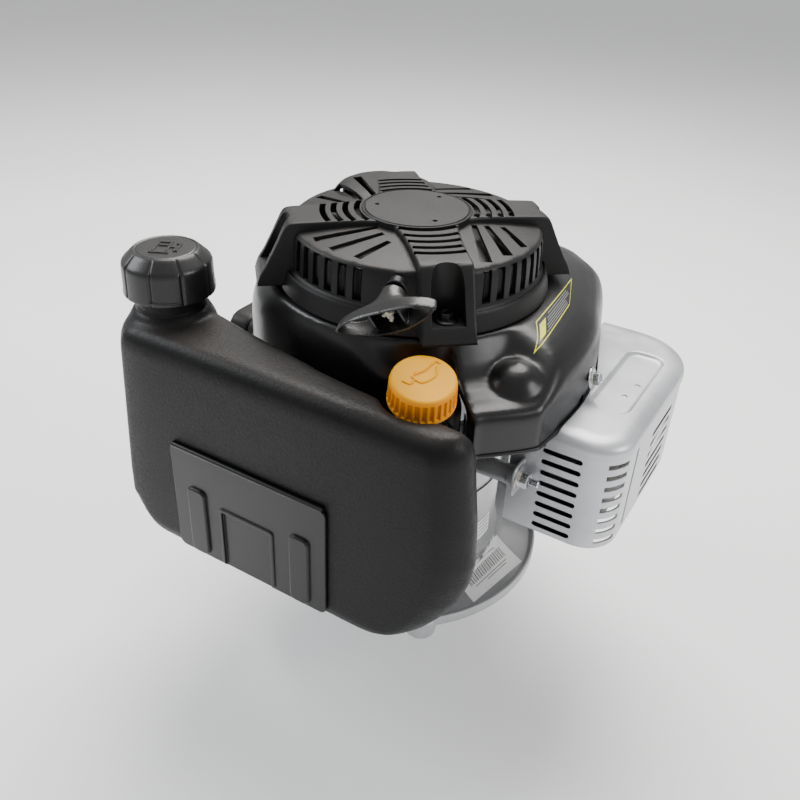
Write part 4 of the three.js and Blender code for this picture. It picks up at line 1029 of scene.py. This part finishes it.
def build_fuel_cap(sizes):
    lobes = sizes.cap_lobes

    def groove(depth):
        def cut(angle):
            away = math.degrees(abs(math.remainder(angle - 0.2, 2 * math.pi / lobes)))
            return depth * math.exp(-(away / 1.5) ** 2)
        return cut
    low, high = CAP_LOW.z, CAP_HIGH.z
    profile = [(28.6, low, 0.3), (29.5, low + 0.6, 0.5), (29.8, low + 2, 0.8), (29.4, low + 4, 1.0),
               (29.1, high - 12, 1.1), (28.9, high - 9.4, 1.1), (28.4, high - 8.2, 1.1), (27.3, high - 6.8, 1.1),
               (23.0, high - 2.6, 0.9), (21.4, high - 1.2, 0.5), (20.4, high - 0.9, 0.1), (19.8, high - 1.3, 0),
               (19.0, high - 1.4, 0), (18.4, high - 1.0, 0), (17.7, high - 0.9, 0)]
    rings = [circle(r, z, 324, wave=groove(d)) for r, z, d in profile]
    cap = loft("cap_body", rings)
    hollow = turned("cap_hollow", [(0, low - 1), (23.4, low - 1), (23.4, low + 17), (0, low + 17)], 64)
    shaped(cap, [hollow])
    moved_icon = [moved(piece, Matrix.Rotation(math.radians(28), 4, "Z")) for piece in icon_pump(high - 0.8)]
    lips = []
    for i in range(3):
        start = -70 + 120 * i
        lips.append(arc_block("lip", (28, 30.0), (start, start + 38), (low + 2.4, low + 3.4), 10))
    whole = merged("fuel_cap_shown", [cap, *moved_icon, *lips])
    moved(whole, Matrix.Translation(Vector((NECK.x, NECK.y, 0)) * MM))
    finished(whole, "dark_plastic", "fuel_cap", ["fuel_cap"], angle=32)


def build_oil_cap(sizes):
    ribs = sizes.oil_ribs

    def knurl(depth):
        def cut(angle):
            away = abs(math.remainder(angle, 2 * math.pi / ribs)) / (math.pi / ribs)
            return depth * min(1, max(0, (away - 0.3) / 0.25))
        return cut
    base = TUBE_LENGTH
    profile = [(19.6, base + 0.2, 0), (20.3, base + 0.9, 0), (20.3, base + 2.6, 0), (20.2, base + 3.2, 1.3),
               (19.7, base + 14.6, 1.3), (19.5, base + 15.2, 0), (19.1, base + 16.6, 0), (18.3, base + 17.6, 0),
               (17.2, base + 18, 0)]
    cap = loft("oil_cap_body", [circle(r, z, ribs * 12, wave=knurl(d)) for r, z, d in profile])
    can = icon_oil_can(base + 18)
    for piece in can:
        moved(piece, Matrix.Rotation(math.radians(12), 4, "Z"))
    plug = turned("plug", [(0, base - 12), (5.6, base - 12), (6.2, base - 11), (6.2, base + 1), (0, base + 1)], 32)
    stick = box("stick", (-2.2, 2.2), (-0.8, 0.8), (-17, base - 10), 0.4, 2)
    marks = [box("mark", (-2.6, 2.6), (-1.0, 1.0), (z, z + 1.2)) for z in (-14, -6)]
    whole = merged("dipstick_shown", [cap, *can, plug, stick, *marks])
    finished(moved(whole, TUBE_STAND), "yellow_plastic", "dipstick", ["dipstick"], angle=32)
    tube = tubular("oil_tube_shown", [
        (6.6, -22), (9, -22), (9, TUBE_LENGTH - 30), (9.6, TUBE_LENGTH - 28), (14.2, TUBE_LENGTH - 26),
        (14.8, TUBE_LENGTH - 25), (14.8, TUBE_LENGTH - 8), (15.6, TUBE_LENGTH - 7), (15.6, TUBE_LENGTH - 3.2),
        (12, TUBE_LENGTH - 2.7), (6.6, TUBE_LENGTH - 3)], 64)
    finished(moved(tube, TUBE_STAND), "dark_plastic", nodes=["oil_tube"])


# ---------------------------------------------------------------- muffler guard
LABEL_CORNERS = [(106.5, -37.3, 222.6), (102.6, 27, 228.5), (87.4, 69.6, 227.8), (96.3, -13.5, 231.3)]
GUARD_X = (73, 175)
GUARD_Y = (-45, 122)


def guard_plan(inset, steps=12):
    """Outline of the guard: tight corners in front, one broad corner behind."""
    right, front, back = GUARD_X[1], GUARD_Y[0], GUARD_Y[1]
    outline = [(GUARD_X[0], front + inset)]
    for radius, y, start in ((24, front + 24, -90), (44, back - 44, 0)):
        for i in range(steps + 1):
            angle = math.radians(start + 90 * i / steps)
            outline.append((right - radius + (radius - inset) * math.cos(angle), y + (radius - inset) * math.sin(angle)))
    return [*outline, (GUARD_X[0], back - inset)]


def round_slot(name, length, height, thick):
    """A slot with round ends: its length along X, cut along Y."""
    outline = round_box((-length / 2, length / 2), (-height / 2, height / 2), height / 2 - 0.01, 5)
    upright = Matrix(((1, 0, 0, 0), (0, 0, 1, 0), (0, 1, 0, 0), (0, 0, 0, 1)))
    return moved(prism(name, outline, -thick / 2, thick / 2), upright)


def build_guard(sizes):
    def level(z, inset):
        return [(x, y, z) for x, y in guard_plan(inset)]
    side = loft("muffler_guard_shown", [level(99, 0.6), level(170.6, 0.6)])
    inner = loft("guard_inside", [level(96, 2), level(176, 2)])
    shaped(side, [inner])
    shaped(side, [box("guard_back", (40, 103.5), (-100, 200), (80, 220))])
    pitch = sizes.guard_pitch / MM
    cuts = []
    corner = Vector((GUARD_X[1] - 24, GUARD_Y[0] + 24))
    quarter = Matrix.Rotation(math.radians(90), 4, "Z")
    for i in range(sizes.guard_rows):
        z = 163.4 - pitch * i
        slot = round_slot("slot", 26, 3.6, 14)
        cuts.append(moved(slot, Matrix.Translation(Vector((137.5, GUARD_Y[0], z)) * MM)))
        wrap = arc_block("wrap", (18, 30), (-52, -12), (z - 1.8, z + 1.8), 10)
        cuts.append(moved(wrap, Matrix.Translation(Vector((corner.x, corner.y, 0)) * MM)))
        if i:
            side_slot = round_slot("side_slot", 44, 3.6, 14)
            cuts.append(moved(side_slot, Matrix.Translation(Vector((GUARD_X[1], 46, z)) * MM) @ quarter))
    tall = prism("tall", round_box((-31, 31), (-2.2, 2.2), 2.1), -7, 7)
    cuts.append(moved(tall, stand((GUARD_X[1], -10, 134), (1, 0, 0), (0, 0, 1))))
    shaped(side, cuts)
    pinhole = turned("pinhole", [(0, -5), (1.5, -5), (1.5, 5), (0, 5)], 16)
    shaped(side, [moved(pinhole, stand((124, GUARD_Y[0], 167), (0, 1, 0)))])
    # A tab with the bolt, folded out at the front left.
    tab = prism("guard_tab", round_box((-9, 9), (-11, 11), 4), 0, 1.4)
    tab_hole = turned("tab_hole", [(0, -2), (3.2, -2), (3.2, 4), (0, 4)], 24)
    shaped(tab, [tab_hole])
    moved(tab, stand(BOSS - Vector((2, 0, 0)), (1, 0, 0), (0, 1, 0)))
    whole = merged("muffler_guard_shown", [side, tab])
    # The pressed top laps over the side and has a soft recess with two dimples.
    lap = [(168.6, 0.6), (169, 0.02), (172.4, 0.02), (174.4, 0.4), (176.2, 1.4), (177.8, 3.4), (179, 6.2), (179.7, 9.4),
           (180, 13.5)]
    top = loft("guard_top", [level(z, inset) for z, inset in lap])
    recess = loft("recess", [[(x, y, z) for x, y in round_box(
        (135 - g, 160 + g), (-2 - g, 84 + g), 9 + g * 0.5, 8)] for z, g in (
            (177.4, -2.0), (177.6, -1.0), (178.2, 0), (179.2, 0.9), (180.4, 2.2), (181, 3.4))])
    shaped(top, [recess])
    dimples = [moved(turned("dimple", [(0, -1.2), (1.6, -1), (2.4, 0.4), (2.4, 3), (0, 3)], 24),
                     Matrix.Translation(Vector((x, y, 177.4)) * MM)) for x, y in ((154, 42), (151, 24))]
    shaped(top, dimples)
    hollow = loft("top_inside", [level(160, 1.2), level(171.4, 1.2), level(174.6, 2.6), level(176, 7)])
    shaped(top, [hollow])
    shaped(top, [box("top_back", (40, 103.5), (-100, 200), (80, 220))])
    blocked = loft("housing_room", [[(x * 1.012, y * 1.012, z) for x, y in smooth_loop(HOUSING_OUTLINE, 4)]
                                    for z in (176.2, 200)])
    shaped(top, [blocked])
    finished(whole, "silver_paint", nodes=["muffler_guard"])
    finished(top, "silver_paint", angle=50)
    bolt = flange_screw("guard_bolt_shown", 10, 7, 9, 2.9, 12)
    finished(moved(bolt, stand(BOSS - Vector((0.5, 0, 0)), (1, 0, 0))), "zinc", nodes=["guard_bolt"])
    stud = turned("guard_stud", [(0, 6), (2.4, 6), (2.4, 12.5), (1.9, 13.2), (0, 13.2)], 24)
    finished(moved(stud, stand(BOSS, (1, 0, 0))), "zinc")


# ---------------------------------------------------------------- castings
def casting_outline(grow):
    """Outside of the crankcase: a circle with the camshaft bulge."""
    ring = []
    for i in range(192):
        a = 2 * math.pi * i / 192
        c, s = math.cos(a), math.sin(a)
        reach = 74 + grow
        bulge = 45 + grow
        root = bulge * bulge - (54.3 * s) ** 2
        if root > 0:
            reach = max(reach, -54.3 * c + math.sqrt(root))
        ring.append((reach * c, reach * s))
    return ring


def build_castings():
    def level(z, grow):
        return [(x, y, z) for x, y in casting_outline(grow)]
    case = loft("crankcase_shown", [
        level(25.4, 3.2), level(29, 3.2), level(31, 0.6), level(60, 0), level(86, 0), level(87, 1.3), level(89.6, 1.3),
        level(90.6, 0), level(144, 0), level(148, -1.4), level(150, -4)])
    joined(case, [turned("top_boss", [(0, 140), (24, 140), (24, 158.6), (22.8, 160), (0, 160)], 64)])
    along_y = stand((0, 0, 81), (0, 1, 0), (1, 0, 0))
    barrel = moved(turned("barrel", [(0, 50), (41, 50), (41, 120), (0, 120)], 96), along_y)
    joined(case, [barrel])
    fins = [prism("fin", round_box((-57, 57), (y, y + 2.6), 1.2, 3), 31, 135, 0.0) for y in (78, 87, 96, 105)]
    joined(case, fins)
    joined(case, [box("saddle", (-48, 48), (60, 120), (67, 95), 3)])
    boss = turned("boss", [(0, 44), (7.5, 44), (6.6, 100), (6.6, 107), (7.4, 108), (7.4, 111.4), (6.8, 112), (0, 112)], 48)
    joined(case, [moved(boss, stand((0, -52, 142), (1, 0, 0)))])
    ribs = []
    for angle in (34, 50, -150, -120, 150):
        rib = box("rib", (70, 76.2), (-1.6, 1.6), (30, 140), 0.8)
        ribs.append(spun(rib, angle))
    joined(case, ribs)
    nozzle = moved(turned("nozzle", [(0, -28), (13, -28), (13, 3), (12, 4), (0, 4)], 48), TUBE_STAND)
    joined(case, [nozzle])
    inside = loft("case_inside", [level(20, -5), level(142, -5)])
    shaped(case, [inside])
    shaped(case, [moved(turned("bore", [(0, 40), (32.5, 40), (32.5, 121), (0, 121)], 64), along_y)])
    shaped(case, [turned("bearing", [(0, 130), (12.8, 130), (12.8, 170), (0, 170)], 48)])
    shaped(case, [moved(turned("passage", [(0, -26), (9.7, -26), (9.7, 34), (0, 34)], 32), TUBE_STAND)])
    finished(case, "cast_aluminium", nodes=["crankcase"])
    # Sump cover: dished flange with a rim, four feet and the wall above it.
    sump = turned("sump_cover_shown", [
        (0, 8), (107.6, 8), (108.6, 8.4), (109.2, 9.4), (109.2, 15.6), (108.8, 16.4), (107.6, 16.6), (106.6, 16.0),
        (105.6, 14.6), (104.2, 13.9), (96, 13.6), (86, 14.2), (80, 15.4), (77.4, 17.4), (76, 21), (0, 21)], 192)
    wall = loft("sump_wall", [level(12, 1.5), level(19, 0.6), level(20.5, 3.2), level(24, 3.2)])
    joined(sump, [wall])
    feet, holes = [], []
    for angle in (-50, 40, 130, 220):
        x, y = 101.6 * math.cos(math.radians(angle)), 101.6 * math.sin(math.radians(angle))
        foot = turned("foot", [(0, 0), (10.6, 0), (11.2, 0.8), (12, 8), (12, 14.4), (11.2, 15.4), (0, 15.4)], 48)
        hole = turned("foot_hole", [(0, -2), (5, -2), (5, 20), (0, 20)], 32)
        feet.append(moved(foot, Matrix.Translation(Vector((x, y, 0)) * MM)))
        holes.append(moved(hole, Matrix.Translation(Vector((x, y, 0)) * MM)))
    joined(sump, feet)
    joined(sump, [turned("hub", [(0, 2), (23, 2), (24, 3), (24, 12), (0, 12)], 64)])
    shaped(sump, holes)
    shaped(sump, [loft("sump_inside", [level(12, -5), level(30, -5)])])
    shaped(sump, [turned("shaft_way", [(0, 0), (17, 0), (17, 9), (11.5, 9), (11.5, 30), (0, 30)], 64)])
    drain = turned("drain_way", [(0, 0), (6.4, 0), (6.4, 20), (0, 20)], 32)
    shaped(sump, [moved(drain, Matrix.Translation(Vector((50, -24, 0)) * MM))])
    finished(sump, "cast_aluminium", nodes=["sump_cover"])


# ---------------------------------------------------------------- labels
def sheet_on(name, surface, corners, across, up, lift):
    """A thin printed sheet that follows a surface; across and up are its shares of a four-cornered area."""
    a, b, c, d = (Vector(p) for p in corners)
    length, height = (b - a).length * (across[1] - across[0]), (d - a).length * (up[1] - up[0])
    steps, rows = max(1, round(length / 1.5)), max(1, round(height / 1.5))
    outward = (b - a).cross(d - a).normalized()
    points, faces = [], []
    for j in range(rows + 1):
        v = up[0] + (up[1] - up[0]) * j / rows
        for i in range(steps + 1):
            u = across[0] + (across[1] - across[0]) * i / steps
            above = a.lerp(b, u).lerp(d.lerp(c, u), v) + outward * 14
            found, place, normal, _ = surface.ray_cast(above * MM, -outward)
            if not found:
                raise RuntimeError(f"{name} found no surface")
            points.append(place / MM + normal * lift)
    wide = steps + 1
    for j in range(rows):
        for i in range(steps):
            k = j * wide + i
            faces.append((k, k + 1, k + wide + 1, k + wide))
    return new_piece(name, points, faces)


def build_labels():
    sump = bpy.data.objects["sump_cover_shown"]
    corners = [(74.5, 27.6, 16), (70.4, -34, 16), (91.9, -46.6, 14.5), (103.3, 12.8, 14.5)]
    finished(sheet_on("flange_sticker", sump, corners, (0, 1), (0, 1), 0.12), "paper", weighted=False)
    bars, position, index = [], 0.12, 0
    while position < 0.86:
        width = 0.008 + 0.007 * ((index * 7) % 3)
        bars.append(sheet_on("bar", sump, corners, (position, position + width), (0.26, 0.56), 0.2))
        position += width + 0.010 + 0.005 * ((index * 5) % 3)
        index += 1
    for start, end, low, high in ((0.2, 0.7, 0.17, 0.19), (0.16, 0.82, 0.64, 0.665), (0.2, 0.6, 0.72, 0.745)):
        bars.append(sheet_on("rule", sump, corners, (start, end), (low, high), 0.2))
    finished(merged("sticker_bars", bars), "grey_print", weighted=False)
    case = bpy.data.objects["crankcase_shown"]
    corners = [(73, -12, 38), (74, 6, 38), (74, 6, 56), (73, -12, 56)]
    finished(sheet_on("case_sticker", case, corners, (0, 1), (0, 1), 0.12), "paper", weighted=False)
    rules = [sheet_on("rule", case, corners, (0.1, 0.9), (v, v + 0.05), 0.2) for v in (0.2, 0.4, 0.6, 0.8)]
    finished(merged("case_rules", rules), "grey_print", weighted=False)
    housing = bpy.data.objects["blower_housing_shown"]
    edges = [((0, 1), (0, 0.055)), ((0, 1), (0.945, 1)), ((0, 0.016), (0, 1)), ((0.984, 1), (0, 1))]
    outline = [sheet_on("edge", housing, LABEL_CORNERS, across, up, 0.2) for across, up in edges]
    outline.append(sheet_on("block", housing, LABEL_CORNERS, (0.06, 0.2), (0.2, 0.76), 0.2))
    finished(merged("label_yellow", outline), "yellow_print", weighted=False)
    rows = [sheet_on("row", housing, LABEL_CORNERS, (0.24 + 0.02 * (i % 2), 0.9 - 0.05 * (i % 3)), (v, v + 0.05), 0.2)
            for i, v in enumerate((0.16, 0.28, 0.4, 0.52, 0.64, 0.78))]
    finished(merged("label_rows", rows), "grey_print", weighted=False)


def build_screen_and_rest(skip):
    """Every other node keeps its own shape with rounded edges and its finish."""
    for name, node in sorted(frame["nodes"].items()):
        if node.hide_render or name in skip:
            continue
        copy = bpy.data.objects.new(name + "_shown", node.data.copy())
        bpy.context.scene.collection.objects.link(copy)
        welded(copy, 0.001)
        work = bmesh.new()
        work.from_mesh(copy.data)
        bmesh.ops.dissolve_limit(work, angle_limit=math.radians(1), verts=work.verts, edges=work.edges)
        work.to_mesh(copy.data)
        work.free()
        bevelled(copy, 0.5, 2, 42)
        slot = NODE_SLOT[name]
        finished(copy, slot, NODE_BODY[name], [name], angle=39)


# ---------------------------------------------------------------- studio
def build_studio():
    scene = bpy.context.scene
    floor_z = FRAME_BOX[0][2] / MM - 0.5
    floor = new_piece("floor", [(-6000, -6000, floor_z), (6000, -6000, floor_z), (6000, 6000, floor_z),
                                (-6000, 6000, floor_z)], [(0, 1, 2, 3)])
    floor.data.materials.append(FINISHES["floor"])
    yaw, pitch, roll = (math.radians(v) for v in (29.82, 32.49, 2.91))
    ahead = Vector((-math.sin(yaw) * math.cos(pitch), math.cos(yaw) * math.cos(pitch), -math.sin(pitch)))
    level = Vector((math.cos(yaw), math.sin(yaw), 0))
    above = level.cross(ahead)
    across = math.cos(roll) * level + math.sin(roll) * above
    up = -math.sin(roll) * level + math.cos(roll) * above
    camera = bpy.data.objects.new("camera", bpy.data.cameras.new("camera"))
    camera.matrix_world = Matrix.Translation(Vector((261.14, -465.22, 470.6)) * MM) @ Matrix(
        (across, up, -ahead)).transposed().to_4x4()
    camera.data.lens = 852.24 / 800 * 36
    camera.data.sensor_width = 36
    scene.collection.objects.link(camera)
    scene.camera = camera
    lamps = [
        ("overhead", (-0.3, 0.7, 1.5), (0, 0, 0.15), 1.3, 48, (1, 0.98, 0.95)),
        ("left", (-1.3, -0.5, 1.1), (0, 0, 0.15), 0.8, 14, (0.92, 0.96, 1)),
        ("right", (1.4, 0.1, 0.9), (0, 0, 0.1), 0.8, 12, (1, 1, 1)),
    ]
    for name, at, target, size, power, colour in lamps:
        data = bpy.data.lights.new(name, "AREA")
        data.shape = "DISK"
        data.size = size
        data.energy = power
        data.color = colour
        lamp = bpy.data.objects.new(name, data)
        lamp.matrix_world = Matrix.Translation(at) @ (Vector(at) - Vector(target)).to_track_quat("Z", "Y").to_matrix().to_4x4()
        scene.collection.objects.link(lamp)
    world = bpy.data.worlds.new("studio")
    world.use_nodes = True
    world.node_tree.nodes["Background"].inputs[0].default_value = (0.95, 0.96, 0.97, 1)
    world.node_tree.nodes["Background"].inputs[1].default_value = 0.6
    scene.world = world


# ---------------------------------------------------------------- operators
class ENGINE_OT_finishes(bpy.types.Operator):
    """Make the finishes"""

    bl_idname = "engine.finishes"
    bl_label = "Finishes"

    def execute(self, context):
        FINISHES.update(make_finishes(context.scene.engine_colours))
        return {"FINISHED"}


class ENGINE_OT_studio(bpy.types.Operator):
    """Make the floor, the lights and the camera"""

    bl_idname = "engine.studio"
    bl_label = "Studio"

    def execute(self, context):
        build_studio()
        return {"FINISHED"}


class ENGINE_OT_cover(bpy.types.Operator):
    """Make the starter cover, its screen and its screws"""

    bl_idname = "engine.cover"
    bl_label = "Starter cover"

    def execute(self, context):
        build_cover(context.scene.engine_cover)
        return {"FINISHED"}


class ENGINE_OT_grip(bpy.types.Operator):
    """Make the pull grip, the rope end and its guide"""

    bl_idname = "engine.grip"
    bl_label = "Pull grip"

    def execute(self, context):
        build_grip()
        return {"FINISHED"}


class ENGINE_OT_housing(bpy.types.Operator):
    """Make the blower housing and its bolt"""

    bl_idname = "engine.housing"
    bl_label = "Blower housing"

    def execute(self, context):
        build_housing(context.scene.engine_body)
        return {"FINISHED"}


class ENGINE_OT_tank(bpy.types.Operator):
    """Make the fuel tank and its bracket"""

    bl_idname = "engine.tank"
    bl_label = "Fuel tank"

    def execute(self, context):
        build_tank(context.scene.engine_body)
        build_bracket()
        return {"FINISHED"}


class ENGINE_OT_caps(bpy.types.Operator):
    """Make the fuel cap, the oil cap and the oil tube"""

    bl_idname = "engine.caps"
    bl_label = "Caps"

    def execute(self, context):
        build_fuel_cap(context.scene.engine_body)
        build_oil_cap(context.scene.engine_body)
        return {"FINISHED"}


class ENGINE_OT_guard(bpy.types.Operator):
    """Make the muffler guard and its bolt"""

    bl_idname = "engine.guard"
    bl_label = "Muffler guard"

    def execute(self, context):
        build_guard(context.scene.engine_body)
        return {"FINISHED"}


class ENGINE_OT_castings(bpy.types.Operator):
    """Make the crankcase and the sump cover"""

    bl_idname = "engine.castings"
    bl_label = "Castings"

    def execute(self, context):
        build_castings()
        return {"FINISHED"}


class ENGINE_OT_labels(bpy.types.Operator):
    """Make the plain labels"""

    bl_idname = "engine.labels"
    bl_label = "Labels"

    def execute(self, context):
        build_labels()
        return {"FINISHED"}


class ENGINE_OT_rest(bpy.types.Operator):
    """Round and finish every other piece"""

    bl_idname = "engine.rest"
    bl_label = "Other pieces"

    def execute(self, context):
        build_screen_and_rest(())
        return {"FINISHED"}


class ENGINE_PT_panel(bpy.types.Panel):
    """Pieces of the engine"""

    bl_idname = "ENGINE_PT_panel"
    bl_label = "Engine"
    bl_space_type = "VIEW_3D"
    bl_region_type = "UI"
    bl_category = "Engine"

    def draw(self, context):
        scene = context.scene
        for group in (scene.engine_cover, scene.engine_body, scene.engine_colours):
            box_layout = self.layout.box()
            for name in group.__annotations__:
                box_layout.prop(group, name)
        for operator in OPERATORS:
            self.layout.operator(operator.bl_idname)


GROUPS = {"engine_cover": CoverSizes, "engine_body": BodySizes, "engine_colours": EngineColours}
OPERATORS = [ENGINE_OT_finishes, ENGINE_OT_studio, ENGINE_OT_cover, ENGINE_OT_grip, ENGINE_OT_housing,
             ENGINE_OT_tank, ENGINE_OT_caps, ENGINE_OT_guard, ENGINE_OT_castings, ENGINE_OT_labels,
             ENGINE_OT_rest]


def register():
    for group in GROUPS.values():
        bpy.utils.register_class(group)
    for name, group in GROUPS.items():
        setattr(bpy.types.Scene, name, PointerProperty(type=group))
    for operator in OPERATORS:
        bpy.utils.register_class(operator)
    bpy.utils.register_class(ENGINE_PT_panel)


def unregister():
    bpy.utils.unregister_class(ENGINE_PT_panel)
    for operator in reversed(OPERATORS):
        bpy.utils.unregister_class(operator)
    for name in GROUPS:
        delattr(bpy.types.Scene, name)
    for group in reversed(GROUPS.values()):
        bpy.utils.unregister_class(group)


def main():
    register()
    for operator in OPERATORS:
        group, name = operator.bl_idname.split(".")
        getattr(getattr(bpy.ops, group), name)()


if __name__ == "__main__":
    main()
